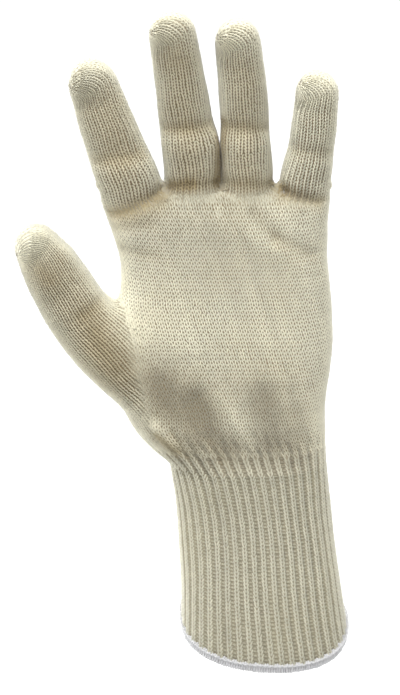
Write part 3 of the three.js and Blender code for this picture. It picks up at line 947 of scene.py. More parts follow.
def web_patch(low: tuple, high: tuple, count: int) -> Patch:
    """Lay a grid from front to back over the webs, where the hand's surface faces up.

    Args:
        low: lowest x, y and z of the space searched.
        high: highest x, y and z.
        count: wales across it.

    Returns:
        The patch, with 4 points to a wale.
    """
    x, y = np.linspace(low[0], high[0], 4 * count), np.arange(low[1], high[1], 1.5)
    start = np.stack(np.broadcast_arrays(x[None, :], y[:, None], low[2]), axis=-1)
    points, found = HAND.settle(start, np.array([0, 0, 1.0]) + 0 * start, high[2] - low[2])
    normals = HAND.normal(points)
    claims = HAND.claims(points)
    owned = found & (normals[..., 2] > 0.45) & (claims[0] - claims.min(axis=0) < 1.2)
    owned[:, [0, -1]] = False
    return Patch(relief(points, normals) - 0.25 * normals, normals, owned)


# ---- stitches ----


@dataclass(frozen=True)
class Stitch:
    """One leg of a knit stitch, as a small raised grain on a grid of 3 by points_along points.

    In units of a wale across and a course along, its middle line runs from (offset - lean) to
    (offset + lean) across while it climbs from -reach to +reach, and drifts sideways by `drift` a
    course. width: half its breadth. height, sink: in millimetres, how far the middle line rises and
    the edges sink.
    """

    offset: float = 0.25
    lean: float = 0.165
    reach: float = 0.77
    width: float = 0.205
    height: float = 0.42
    sink: float = 0.34
    points_along: int = 6
    drift: float = 0.0

    def leg(self, mirrored: bool) -> tuple:
        """Shape the leg of one side of the stitch.

        Towards the ends its width falls off as 1 - 0.35 t^4, and its height as 1 - 0.75 |t|^3 less a
        slight slope of 0.06 t, where t runs from -1 to 1. The edges sink into the fabric's ground.

        Args:
            mirrored: whether it is the leg on the left.

        Returns:
            Across, along and height values, and the leg's own UV.
        """
        t = np.linspace(-1, 1, self.points_along)[:, None] * np.ones((1, 3))
        s = np.linspace(-1, 1, 3)[None, :] * np.ones((self.points_along, 1))
        middle = self.offset + self.lean * np.sin(t * math.pi / 2)
        across = middle + s * self.width * (1 - 0.35 * t**4)
        crest = self.height * (1 - 0.75 * np.abs(t) ** 3) - 0.06 * self.height * t
        up = np.where(s == 0, crest, -self.sink)
        uv = np.stack([(s + 1) / 2, (t + 1) / 2], axis=-1)
        if mirrored:
            across, up, uv = -across[:, ::-1], up[:, ::-1], uv[:, ::-1]
        along = t * self.reach
        return (across + self.drift * along).ravel(), along.ravel(), up.ravel(), uv.reshape(-1, 2)

    def bar(self) -> tuple:
        """Shape a purl's low bar instead: the same grain laid across.

        Returns:
            Across, along and height values, and its own UV, as for a leg.
        """
        across, along, up, uv = self.leg(False)
        centred = (across - self.offset) / self.width
        return along / self.reach * 0.6, -centred * 0.5, up, uv

    def quads(self) -> Array:
        """Return the leg's faces, facing out."""
        i = (np.arange(self.points_along - 1)[:, None] * 3 + np.arange(2)[None, :]).ravel()
        return np.stack([i, i + 1, i + 4, i + 3], axis=-1)


RIB_STITCH = Stitch(lean=0.13, reach=0.74, width=0.215, points_along=5)
PURL = Stitch(lean=0.0, height=0.16, sink=0.2, points_along=4)
VALUES = ("tone", "crest", "warm")
# how far above the surface the lint starts
LINT_ROOT = 0.3


@dataclass
class Soup:
    """Mesh parts that are gathered into one piece: points, faces, UVs and per-point values.

    tone: how much paler or deeper, in steps of about 4 in a hundred: each stitch's own tone, with
    painted light and shade added. crest: 1 on the yarn and 0 in the gaps, the deep colour there and on
    the yarn's flanks being painted shade. warm: share of the warm colour of the painted shade in the
    creases.
    """

    points: list = field(default_factory=list)
    faces: list = field(default_factory=list)
    uvs: list = field(default_factory=list)
    values: dict = field(default_factory=lambda: {name: [] for name in VALUES})
    count: int = 0

    def add(
        self, points: Array, faces: Array, uv: Array, tone: object, crest: object, warm: object = 0.0
    ) -> None:
        """Add one part, with one value for all its points or a value for each.

        Args:
            points: its points.
            faces: its quads, as numbers of its points.
            uv: one pair per point.
            tone: the points' tone.
            crest: the points' crest.
            warm: the points' warmth.
        """
        size = len(points)
        self.points.append(points)
        self.faces.append(faces + self.count)
        self.uvs.append(np.broadcast_to(uv, (size, 2)))
        for name, value in zip(VALUES, (tone, crest, warm)):
            self.values[name].append(np.broadcast_to(value, (size,)))
        self.count += size

    def build(self, name: str, material: bpy.types.Material, slot: "Slot", nodes: tuple) -> bpy.types.Object:
        """Make the piece, in metres, riding on the root body.

        Args:
            name: the piece's name.
            material: its finish.
            slot: not used.
            nodes: the CAD nodes it stands for.

        Returns:
            The new object.
        """
        points, faces = np.concatenate(self.points) * MM, np.concatenate(self.faces)
        uvs = np.concatenate(self.uvs)
        mesh = bpy.data.meshes.new(name)
        mesh.vertices.add(len(points))
        mesh.vertices.foreach_set("co", points.astype(np.float32).ravel())
        mesh.loops.add(faces.size)
        mesh.loops.foreach_set("vertex_index", faces.astype(np.int32).ravel())
        mesh.polygons.add(len(faces))
        mesh.polygons.foreach_set("loop_start", np.arange(0, faces.size, 4, dtype=np.int32))
        mesh.update(calc_edges=True)
        mesh.polygons.foreach_set("use_smooth", np.ones(len(faces), bool))
        layer = mesh.uv_layers.new(name="yarn")
        layer.data.foreach_set("uv", uvs[faces.ravel()].astype(np.float32).ravel())
        for label, values in self.values.items():
            attribute = mesh.attributes.new(label, "FLOAT", "POINT")
            attribute.data.foreach_set("value", np.concatenate(values).astype(np.float32))
        mesh.materials.append(material)
        piece = bpy.data.objects.new(name, mesh)
        bpy.context.scene.collection.objects.link(piece)
        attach(piece, "root")
        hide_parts(*nodes)
        log.info("%s: %d quads", name, len(faces))
        return piece


@dataclass(frozen=True)
class Places:
    """Where stitches go on a patch.

    u: their middles, as shares of the way round. v: their middles, as row numbers. wide: width of a
    stitch, as a share of the way round. tone: each stitch's own shade.
    """

    u: Array
    v: Array
    wide: float
    tone: Array

    def only(self, chosen: Array) -> "Places":
        """Return the chosen ones."""
        return Places(self.u[chosen], self.v[chosen], self.wide, self.tone[chosen])

    def shaded(self, by: object) -> "Places":
        """Return the same places, paler by a number or an array."""
        return replace(self, tone=self.tone + by)


@dataclass
class Knitter:
    """Lays stitches on a patch, each a little different from its neighbours."""

    random: np.random.Generator

    def legs(self, soup: Soup, patch: Patch, stitch: Stitch, places: Places) -> None:
        """Add a pair of legs at each stitch.

        Args:
            soup: where the legs go.
            patch: the surface they lie on.
            stitch: the leg's shape.
            places: the stitches' places.
        """
        jitter = self.random.normal(0, 1, (len(places.u), 4))
        for mirrored in (False, True):
            side = places.shaded(0.3 if mirrored else -0.3)
            side = side.shaded(self.random.normal(0, 0.35, len(places.u)))
            self.grains(soup, patch, stitch, stitch.leg(mirrored), side, jitter)

    def bars(self, soup: Soup, patch: Patch, stitch: Stitch, places: Places) -> None:
        """Add a purl's bar at each stitch, with the grooves' painted shade: a deeper tone and crest.

        The values are those of `legs`.
        """
        jitter = self.random.normal(0, 1.8, (len(places.u), 4))
        self.grains(soup, patch, stitch, stitch.bar(), places.shaded(-0.6), jitter, 0.52)

    @staticmethod
    def grains(
        soup: Soup,
        patch: Patch,
        stitch: Stitch,
        shape: tuple,
        places: Places,
        jitter: Array,
        pale: float = 1.0,
    ) -> None:
        """Add one grain of a given shape at each stitch, with its place and size a little uneven.

        Args:
            soup: where the grains go.
            patch: the surface they lie on.
            stitch: what `shape` comes from.
            shape: across, along and height values, and UV.
            places: the stitches' places.
            jitter: 4 random values per grain, for its width, its place across and along, its height.
            pale: how pale its crest is; below one it paints shade, as on the purls' bars in the grooves.
        """
        across, along, up, uv = shape
        count, size = len(places.u), len(across)
        spread = places.wide * (1 + 0.04 * jitter[:, 0])
        uu = (places.u + 0.02 * jitter[:, 1] * places.wide)[:, None] + across * spread[:, None]
        vv = (places.v + 0.035 * jitter[:, 2])[:, None] + along
        ground, out = patch.sample(uu, vv)
        at, away = ground[:, size // 2], out[:, size // 2]
        close = np.minimum(tint(at, away, "close"), 1)[:, None]
        lift = np.where(up > 0, up * (1 + 0.09 * jitter[:, 3])[:, None] * (1 - 0.6 * close), up)
        points = (ground + out * lift[..., None]).reshape(-1, 3)
        faces = (stitch.quads() + (np.arange(count) * size)[:, None, None]).reshape(-1, 4)
        # painted shade: the crest is deepest where the grain sinks into the ground and palest on its top;
        # closed gaps turn it paler
        crest = np.where(up > 0, 0.45 + 0.55 * np.minimum(up / stitch.height, 1), 0.2) * pale
        crest = (crest + close * np.maximum(0.75 - crest, 0)).ravel()
        # the folds' painted shade and light, as warmth and tone
        warm = np.repeat(tint(at, away, "warm"), size)
        tone = np.repeat(places.tone + tint(at, away, "shade"), size)
        soup.add(points, faces, np.tile(uv, (count, 1)), tone, crest, warm)

    def strands(
        self,
        soup: Soup,
        at: Array,
        out: Array,
        length: float = 1.3,
        radius: float = 0.035,
        bend: float = 0.6,
    ) -> None:
        """Add short loose strands of lint: flat tapering strips of three quads that bend over.

        Args:
            soup: where they go.
            at: places on the surface.
            out: the outward directions there.
            length: the usual length.
            radius: half the width at the root.
            bend: how much they lean and curl.
        """
        count = len(at)
        lean = unit(self.random.normal(0, 1, (count, 3)))
        side = unit(np.cross(out, self.random.normal(0, 1, (count, 3))))
        size = length * self.random.uniform(0.4, 1.4, count)[:, None, None]
        t = np.linspace(0, 1, 4)[None, :, None]
        root = at + LINT_ROOT * out
        spine = root[:, None] + size * (out[:, None] * t * 0.55 + lean[:, None] * bend * t**2)
        width = radius * (1 - 0.7 * t) * side[:, None]
        points = np.stack([spine - width, spine + width], axis=2).reshape(-1, 3)
        i = np.arange(3)[:, None] * 2
        faces = np.concatenate([i, i + 1, i + 3, i + 2], axis=1)
        faces = (faces[None] + (np.arange(count) * 8)[:, None, None]).reshape(-1, 4)
        soup.add(points, faces, points[:, (0, 2)] * 0.3, 1.6, 1.0)


# ---- finishes ----


class Slot(Enum):
    """The record's material slots."""

    BODY = "knit_body"
    CUFF = "knit_cuff"
    HEM = "hem_thread"


@dataclass(frozen=True)
class KnitFinish:
    """A matt spun yarn: pale on the crests, deeper in the gaps, with its twist and lint as bump.

    yarn, gap, warm: linear colours of the crests, of the painted shade in the gaps and of the painted
    shade in the creases, which also tints the soft stain patches. stain: how much of the warm colour
    shows in soft patches. twist: height of the ply's twist. tones, shades: a range of the tone
    attribute, which carries painted light and shade as well as each stitch's own tone, and the factors
    on the colour at its ends.
    """

    name: str
    yarn: tuple
    gap: tuple
    warm: tuple
    stain: float = 0.14
    twist: float = 0.6
    roughness: float = 0.95
    sheen: float = 0.5
    tones: tuple = (-12.5, 8.5)
    shades: tuple = (0.45, 1.33)

    def build(self) -> bpy.types.Material:
        """Make the node material from the piece's own UV, its attributes and Object coordinates.

        Returns:
            The material.
        """
        material = bpy.data.materials.new(self.name)
        material.use_nodes = True
        nodes, links = material.node_tree.nodes, material.node_tree.links
        shader = nodes["Principled BSDF"]
        shader.inputs["Roughness"].default_value = self.roughness
        shader.inputs["Sheen Weight"].default_value = self.sheen
        shader.inputs["Sheen Roughness"].default_value = 0.45
        shader.inputs["Specular IOR Level"].default_value = 0.2

        def node(kind: str, **values: object) -> bpy.types.Node:
            """Add a node.

            Args:
                kind: its type.
                values: the fields to set.

            Returns:
                The node.
            """
            made = nodes.new(kind)
            for key, value in values.items():
                setattr(made, key, value)
            return made

        def mix(factor: object, a: object, b: object, blend: str = "MIX") -> bpy.types.NodeSocket:
            """Mix two colours.

            Args:
                factor: share of the second, a socket or a number.
                a: the first colour, a socket or a tuple.
                b: the second colour.
                blend: how they are mixed.

            Returns:
                The result's socket.
            """
            made = node("ShaderNodeMix", data_type="RGBA", blend_type=blend)
            for socket, value in ((made.inputs[0], factor), (made.inputs[6], a), (made.inputs[7], b)):
                if isinstance(value, bpy.types.NodeSocket):
                    links.new(value, socket)
                elif isinstance(value, tuple):
                    socket.default_value = (*value, 1)
                else:
                    socket.default_value = value
            return made.outputs[2]

        def ramp(value: bpy.types.NodeSocket, low: float, high: float, to: tuple = (0, 1)) -> object:
            """Map a value's range to another, and hold it at both ends.

            Args:
                value: the value's socket.
                low: start of its range.
                high: end of its range.
                to: the range it is mapped to.

            Returns:
                The result's socket.
            """
            made = node("ShaderNodeMapRange")
            links.new(value, made.inputs[0])
            for socket, number in zip(made.inputs[1:5], (low, high, *to)):
                socket.default_value = number
            return made.outputs[0]

        place = node("ShaderNodeTexCoord").outputs["Object"]
        names = ("crest", "tone", "warm")
        crest, tone, warm = (node("ShaderNodeAttribute", attribute_name=a).outputs["Fac"] for a in names)

        def noise(scale: float, detail: float) -> bpy.types.NodeSocket:
            """Add a noise on Object coordinates.

            Args:
                scale: how fine it is.
                detail: how many finer layers it has.

            Returns:
                The result's socket.
            """
            made = node("ShaderNodeTexNoise")
            made.inputs["Scale"].default_value = scale
            made.inputs["Detail"].default_value = detail
            links.new(place, made.inputs["Vector"])
            return made.outputs["Fac"]

        # painted shade: the deep gap colour where the crest is low, between and under the stitches
        colour = mix(ramp(crest, 0.0, 0.75), self.gap, self.yarn)
        colour = mix(ramp(noise(28, 3), 0.42, 0.75, (0, self.stain)), colour, self.warm)
        # painted shade, deep and warm, in the creases and down the digits
        colour = mix(ramp(warm, 0, 1, (0, 0.85)), colour, self.warm)
        # tone: each stitch's own shade with painted light and shade added; then a fine random mottle
        for factor in (ramp(tone, *self.tones, self.shades), ramp(noise(1500, 2), 0.3, 0.75, (0.93, 1.05))):
            grey = node("ShaderNodeCombineColor")
            for socket in grey.inputs[:3]:
                links.new(factor, socket)
            colour = mix(1.0, colour, grey.outputs[0], "MULTIPLY")
        links.new(colour, shader.inputs["Base Color"])

        uv = node("ShaderNodeUVMap", uv_map="yarn").outputs[0]
        wave = node("ShaderNodeTexWave", wave_type="BANDS", bands_direction="DIAGONAL")
        wave.inputs["Scale"].default_value = 1.1
        wave.inputs["Distortion"].default_value = 1.2
        wave.inputs["Detail"].default_value = 1.0
        links.new(uv, wave.inputs["Vector"])
        height = node("ShaderNodeMath", operation="MULTIPLY_ADD")
        links.new(wave.outputs["Fac"], height.inputs[0])
        height.inputs[1].default_value = self.twist
        links.new(noise(2600, 3), height.inputs[2])
        bump = node("ShaderNodeBump")
        bump.inputs["Strength"].default_value = 0.6
        bump.inputs["Distance"].default_value = 0.00012
        links.new(height.outputs[0], bump.inputs["Height"])
        links.new(bump.outputs[0], shader.inputs["Normal"])
        return material


# ---- the hand's knit ----


@dataclass
class HandKnit:
    """The palm and the stalls: a backing shell and the stitches on it, one piece for each.

    wall: thickness of the backing. cell: size of its faces. floor: height of its lower edge. hairs:
    how many strands of lint. webs: lowest and highest corners of each web's space, and its wales.
    pieces: name and CAD node of each.
    """

    finish: KnitFinish
    palm_stitch: Stitch = Stitch(lean=0.14, reach=0.72, width=0.215, height=0.3, points_along=5, drift=-0.21)
    finger_stitch: Stitch = Stitch(lean=0.115, reach=0.7, width=0.175, height=0.46, sink=0.4)
    thumb_stitch: Stitch = Stitch(lean=0.09, reach=0.75, width=0.17, height=0.46, sink=0.4)
    wall: float = 1.5
    cell: float = 1.6
    floor: float = 82.3
    hairs: int = 5200
    webs: tuple = (((-70, -1, 189), (30, 28, 204), 42), ((-72, -13, 143), (-54, 17, 158), 8))
    pieces: tuple = (
        ("palm_front_knit", "palm"),
        ("palm_back_knit", "palm"),
        ("thumb_stall_knit", "thumb_stall"),
        ("index_stall_knit", "index_stall"),
        ("middle_stall_knit", "middle_stall"),
        ("ring_stall_knit", "ring_stall"),
        ("little_stall_knit", "little_stall"),
    )

    def __post_init__(self) -> None:
        """Start with empty pieces and a knitter of its own."""
        self.soups = [Soup() for _ in self.pieces]
        self.knitter = Knitter(np.random.default_rng(SEED))

    def piece_of(self, owner: Array, points: Array) -> Array:
        """Tell which piece each point belongs to.

        Digits count from their base plane up. Below it, and on the trunk, it is the palm's front or back.

        Args:
            owner: number of the tube whose knit covers each point.
            points: the points.

        Returns:
            The numbers of the pieces.
        """
        middle = np.interp(points[..., 2], TRUNK.table.key, TRUNK.table.values[:, 1])
        piece = np.where(points[..., 1] < middle, 0, 1)
        for number, digit in enumerate(DIGITS, start=1):
            past = (points - digit.origin) @ digit.up > 0
            piece = np.where((owner == number) & past, number + 1, piece)
        return piece

    def share_out(self, label: Array, points: Array, faces: Array, crest: Array) -> None:
        """Add each face, with its own points, to the piece that its label names.

        Args:
            label: each face's piece.
            points: all points.
            faces: all quads.
            crest: each point's crest.
        """
        for number, soup in enumerate(self.soups):
            mine = faces[label == number]
            if len(mine):
                used, renumbered = np.unique(mine, return_inverse=True)
                uv = points[used][:, (0, 2)] * 0.1
                soup.add(points[used], renumbered.reshape(-1, 4), uv, 0.0, crest[used])

    def add_shell(self) -> None:
        """Add the backing: the hand's surface sunk a little, and an inner wall behind it."""

        def cut(points: Array) -> Array:
            """Return the distance, sunk below the stitches and, near the cuff, below its grooves."""
            return HAND.distance(points) + GROUND + 1.25 * RIBS.depth * RIBS.fade(points[..., 2])

        points, quads = surface_net(cut, (-112, -34, self.floor - 0.8), (42, 40, 282), self.cell)
        for _ in range(3):
            normals = HAND.normal(points)
            points = points - cut(points)[:, None] * normals
        points[:, 2] = np.maximum(points[:, 2], self.floor)
        normals = HAND.normal(points)
        middle = points[quads].mean(axis=1)
        piece = self.piece_of(HAND.owner(middle), middle)
        outer = relief(points, normals)
        inner = outer - (self.wall - GROUND) * normals
        edges = np.sort(np.stack([quads, np.roll(quads, -1, axis=1)], axis=-1).reshape(-1, 2), axis=1)
        _, number, times = np.unique(edges, axis=0, return_inverse=True, return_counts=True)
        which, side = np.nonzero((times[number.ravel()] == 1).reshape(-1, 4))
        a, b = quads[which, side], quads[which, (side + 1) % 4]
        rim = np.stack([b, a, a + len(points), b + len(points)], axis=-1)
        faces = np.concatenate([quads, quads[:, ::-1] + len(points), rim])
        # painted shade: the backing's outer face, seen only between the stitches, takes the deep gap colour,
        # paler where tubes meet and where gaps close; the inner wall is nearly the yarn's colour
        first, second = np.sort(HAND.claims(points), axis=0)[:2]
        seam = 0.24 * (1 - smooth_step(second - first, 1.0, 3.5))
        seam = np.minimum(seam + 0.5 * tint(points, normals, "close"), 0.6)
        crest = np.concatenate([seam, np.full(len(points), 0.7)])
        label = np.concatenate([piece, piece, piece[which]])
        self.share_out(label, np.concatenate([outer, inner]), faces, crest)

    def add_rib_zone(self, patch: Patch, heights: Array) -> None:
        """Add the ribbed sheet with which the cuff's ribs run on into the palm and fade.

        Args:
            patch: the trunk's patch.
            heights: its rows' heights.
        """
        rows = int((heights < RIBS.end).sum())
        columns = patch.points.shape[1]
        sunk = GROUND + 0.5 * smooth_step(heights[:rows], RIBS.end - 6, RIBS.end)
        points = patch.points[:rows] - sunk[:, None, None] * patch.normals[:rows]
        points[0, :, 2] = RIBS.start
        faces = ring_quads(rows, columns, False)
        # painted shade: the sheet shows between the stitches in the deep gap colour, up to the last rib
        # course
        shown = 1 - smooth_step(heights[:rows, None], RIBS.last - 1, RIBS.last + 3)
        crest = shown * (0.34 - 0.14 * RIBS.ridge(np.arange(columns) / columns))
        flat = points.reshape(-1, 3)
        middle = flat[faces].mean(axis=1)
        self.share_out(self.piece_of(np.zeros(len(middle), int), middle), flat, faces, crest.ravel())

    def add_row(self, number: int, patch: Patch, v: float, count: int, tones: tuple) -> tuple:
        """Add one course of a tube's knit. The palm's courses drift sideways as they climb.

        Args:
            number: the tube's number.
            patch: its patch.
            v: the course's place, as a row number.
            count: stitches in the course.
            tones: the wales' own shades, and the course's.

        Returns:
            The stitches' places and outward directions, and their pieces.
        """
        u = (np.arange(count) + 0.5) / count
        u = u + 0.1 / count * np.sin(0.33 * v + 5 * np.sin(2 * math.pi * u) + number)
        per_wale = np.interp(u, np.arange(len(tones[0])) / len(tones[0]), tones[0])
        if number == 0:
            u = u + self.palm_stitch.drift / count * (v - (RIBS.last - TRUNK.start) / TRUNK.course)
            # painted light on the ribs' ridges and painted shade in their grooves, fading up the palm
            per_wale = per_wale + 5.0 * RIBS.fade(TRUNK.start + v * TRUNK.course) * (2 * RIBS.ridge(u) - 1)
        return self.lay(number, patch, Places(u, np.full(count, v), 1 / count, per_wale + tones[1]))

    def lay(self, number: int, patch: Patch, places: Places, special: Stitch | None = None) -> tuple:
        """Add stitches at those places that the patch owns, each to its piece.

        Args:
            number: the tube's number.
            patch: its patch.
            places: the stitches' places.
            special: a stitch to use instead of the tube's own. A purl is laid as bars.

        Returns:
            The stitches' places and outward directions, and their pieces.
        """
        places = places.only(patch.holds(places.u, places.v))
        places = places.shaded(self.knitter.random.normal(0, 0.55, len(places.u)))
        at, out = patch.sample(places.u, places.v)
        piece = self.piece_of(np.full(len(places.u), number), at)
        stitch = special or (self.palm_stitch, self.thumb_stitch, *[self.finger_stitch] * 4)[number]
        add = self.knitter.bars if special is PURL else self.knitter.legs
        for label in np.unique(piece):
            add(self.soups[label], patch, stitch, places.only(piece == label))
        return at, out, piece

    def add_stitches(self) -> None:
        """Add every tube's stitches, with fewer to a row where a fingertip closes, and the lint on them."""
        random = self.knitter.random
        placed = []
        for number, tube in enumerate(TUBES):
            columns = RIBS.count * 10 if tube is TRUNK else tube.wales * 4
            patch, along = hand_patch(tube, columns)
            if tube is TRUNK:
                self.add_rib_zone(patch, along)
            gaps = np.diff(patch.points, axis=1, append=patch.points[:, :1])
            girth = np.linalg.norm(gaps, axis=-1).sum(axis=1)
            usual = np.median(girth) / tube.wales
            wale_tones = random.normal(0, 0.7, tube.wales)
            for row in range(len(along) - 1):
                v, course_tone = row + 0.5, random.normal(0, 0.3)
                if tube is TRUNK and along[row] < RIBS.last:
                    self.add_rib_row(patch, v, course_tone)
                    continue
                count = tube.wales
                while tube is not TRUNK and girth[row : row + 2].min() / count < 0.52 * usual and count > 6:
                    count //= 2
                placed.append(self.add_row(number, patch, v, count, (wale_tones, course_tone)))
        for low, high, count in self.webs:
            patch = web_patch(low, high, count)
            u = (np.arange(count) + 0.5) / count
            for row in range(1, len(patch.points) - 2):
                places = Places(u, np.full(count, row + 0.5), 1 / count, np.zeros(count))
                placed.append(self.lay(0, patch, places))
        at, out, piece = (np.concatenate(part) for part in zip(*placed))
        some = random.choice(len(at), self.hairs)
        for label in np.unique(piece[some]):
            mine = some[piece[some] == label]
            self.knitter.strands(self.soups[label], at[mine], out[mine])

    def add_rib_row(self, patch: Patch, v: float, tone: float) -> None:
        """Add one course of the ribs in the palm: a stitch on each ridge and a purl in each groove.

        Args:
            patch: the trunk's patch.
            v: the course's place, as a row number.
            tone: the course's shade.
        """
        for groove, stitch in ((False, RIB_STITCH), (True, PURL)):
            # painted shade: the rib courses a tone deeper, and the purls in the grooves deeper still
            tones = np.full(RIBS.count, tone - 0.8 - 1.2 * groove)
            places = Places(RIBS.middles(groove), np.full(RIBS.count, v), RIBS.width(groove), tones)
            self.lay(0, patch, places, stitch)

    def build(self) -> None:
        """Make the pieces."""
        self.add_shell()
        self.add_stitches()
        material = self.finish.build()
        for soup, (name, node) in zip(self.soups, self.pieces):
            soup.build(name, material, Slot.BODY, (node,))


# ---- the cuff ----


@dataclass
class RibCuff:
    """The long cuff: ribs as relief on a tapering sleeve, with a column of stitches on each rib.

    mouth, wrist: half widths and half depths. lean: sideways place of the wrist. tilt_front,
    tilt_side: degrees that the mouth's plane rises towards +Y and +X. bottom: height of the knit's
    edge above that plane. sunk: how far it lies under the outer size. course: length of a course.
    hairs: strands of lint on the ridges, and as many in the grooves. rows: up the cuff as a share,
    flare from wrist to mouth, lean as a share, depth of the grooves.
    """

    finish: KnitFinish
    length: float = 82.0
    mouth: tuple = (37.0, 29.0)
    wrist: tuple = (34.1, 22.5)
    lean: float = -8.0
    squareness: float = 2.3
    tilt_front: float = 17.5
    tilt_side: float = -3.5
    bottom: float = 3.4
    sunk: float = 0.4
    wall: float = 1.5
    course: float = 1.62
    hairs: int = 700
    rows: tuple = (
        (0, 1, 0, 0.75),
        (0.2, 0.56, 0.17, 0.95),
        (0.5, 0.12, 0.46, 1),
        (0.78, -0.06, 0.72, 1),
        (0.92, -0.03, 0.9, 1),
        (1, 0, 1, 1),
    )

    def mouth_height(self, x: Array, y: Array) -> Array:
        """Return the height of the mouth's tilted plane."""
        return math.tan(math.radians(self.tilt_side)) * x + math.tan(math.radians(self.tilt_front)) * y

    def rings(self, up: Array, columns: int, inset: float) -> Array:
        """Return rings of points from the mouth to the wrist.

        Args:
            up: share of the way from the mouth to the wrist, one per ring.
            columns: points in a ring.
            inset: how far inside the cuff's outer size.

        Returns:
            Points on superellipses whose heights run from the tilted mouth to the level wrist.
        """
        flare, lean, _ = Table(self.rows)(up)
        half = self.wrist[0] + (self.mouth[0] - self.wrist[0]) * flare - inset
        deep = self.wrist[1] + (self.mouth[1] - self.wrist[1]) * flare - inset
        square = (self.squareness + 0.2 * smooth_step(up, 0.7, 1.0))[:, None]
        w, d = even_sections(half, deep, deep, 0 * half, square, columns)
        x = self.lean * lean[:, None] + w
        low = self.mouth_height(x, d) + self.bottom
        return np.stack([x, d, low + (self.length - low) * up[:, None]], axis=-1)

    def build(self) -> None:
        """Make the cuff's one piece: sleeve, rib stitches, the bars in the grooves and some lint."""
        columns = RIBS.count * 10
        courses = int(round(self.length / self.course))
        up = np.linspace(0, 1, courses + 1)
        u = np.arange(columns)[None, :] / columns
        flat = self.rings(up, columns, self.sunk)
        du = np.roll(flat, -1, axis=1) - np.roll(flat, 1, axis=1)
        out = unit(np.cross(du, np.gradient(flat, axis=0)))
        depth = RIBS.depth * Table(self.rows)(up)[2][:, None]
        sway = self.sway(up[:, None], u)
        ridge = RIBS.ridge(u - sway)
        points = flat - (depth * (1 - ridge))[..., None] * out
        patch = Patch(points, out, np.ones(points.shape[:2], bool))
        soup = Soup()
        self.add_sleeve(soup, points - GROUND * out, up, ridge)
        knitter = Knitter(np.random.default_rng(SEED + 1))
        for groove, stitch, lay in ((False, RIB_STITCH, knitter.legs), (True, PURL, knitter.bars)):
            uu, vv = (a.ravel() for a in np.meshgrid(RIBS.middles(groove), np.arange(courses) + 0.5))
            uu = uu + self.sway(vv / courses, uu)
            tone = knitter.random.normal(0, 0.6, len(uu))
            tone = tone + np.tile(knitter.random.normal(0, 0.6, RIBS.count), courses)
            # a little deeper all over, with painted shade deepest at the mouth and gone halfway up
            tone = tone - 0.6 - 2.6 * (1 - smooth_step(vv / courses, 0, 0.45))
            lay(soup, patch, stitch, Places(uu, vv, RIBS.width(groove), tone))
            some = knitter.random.choice(len(uu), self.hairs)
            at, away = patch.sample(uu[some], vv[some])
            knitter.strands(soup, at, away)
        soup.build("rib_cuff_knit", self.finish.build(), Slot.CUFF, ("rib_cuff",))

    @staticmethod
    def sway(up: Array, u: Array) -> Array:
        """Return how far the ribs wander, and how they bend away from the thumb just below the wrist.

        Args:
            up: share of the way from the mouth to the wrist.
            u: share of the way round.

        Returns:
            Shifts, as shares of the way round.
        """
        wander = 0.12 / RIBS.count * np.sin(7 * up + 3 * np.sin(2 * math.pi * u)) * np.sin(math.pi * up)
        share = np.minimum(u % 1, 1 - u % 1) * 2
        bend = 0.019 * share**1.6 * (1 - share**6) * (1 - np.exp(-(1 - up) * 14))
        return wander + np.where(u % 1 > 0.5, bend, -bend)

    def add_sleeve(self, soup: Soup, points: Array, up: Array, ridge: Array) -> None:
        """Add the sleeve's outer relief, its plain lining and both rims as one closed wall.

        Args:
            soup: where they go.
            points: the outer relief.
            up: share of the way up, one per ring.
            ridge: 1 on a ridge and 0 in a groove.
        """
        rows, columns = points.shape[:2]
        lining = self.rings(up, columns, self.sunk + RIBS.depth + self.wall - 0.4)
        flat = np.concatenate([points, lining[::-1]]).reshape(-1, 3)
        # painted shade: the outer relief, seen between the stitches, in the deep gap colour; the lining
        # nearly the yarn's colour
        crest = np.concatenate([0.3 - 0.12 * ridge, np.full((rows, columns), 0.7)])
        soup.add(flat, ring_quads(2 * rows, columns, True), flat[:, (0, 2)] * 0.1, 0.0, crest.ravel())


# ---- the hem ----


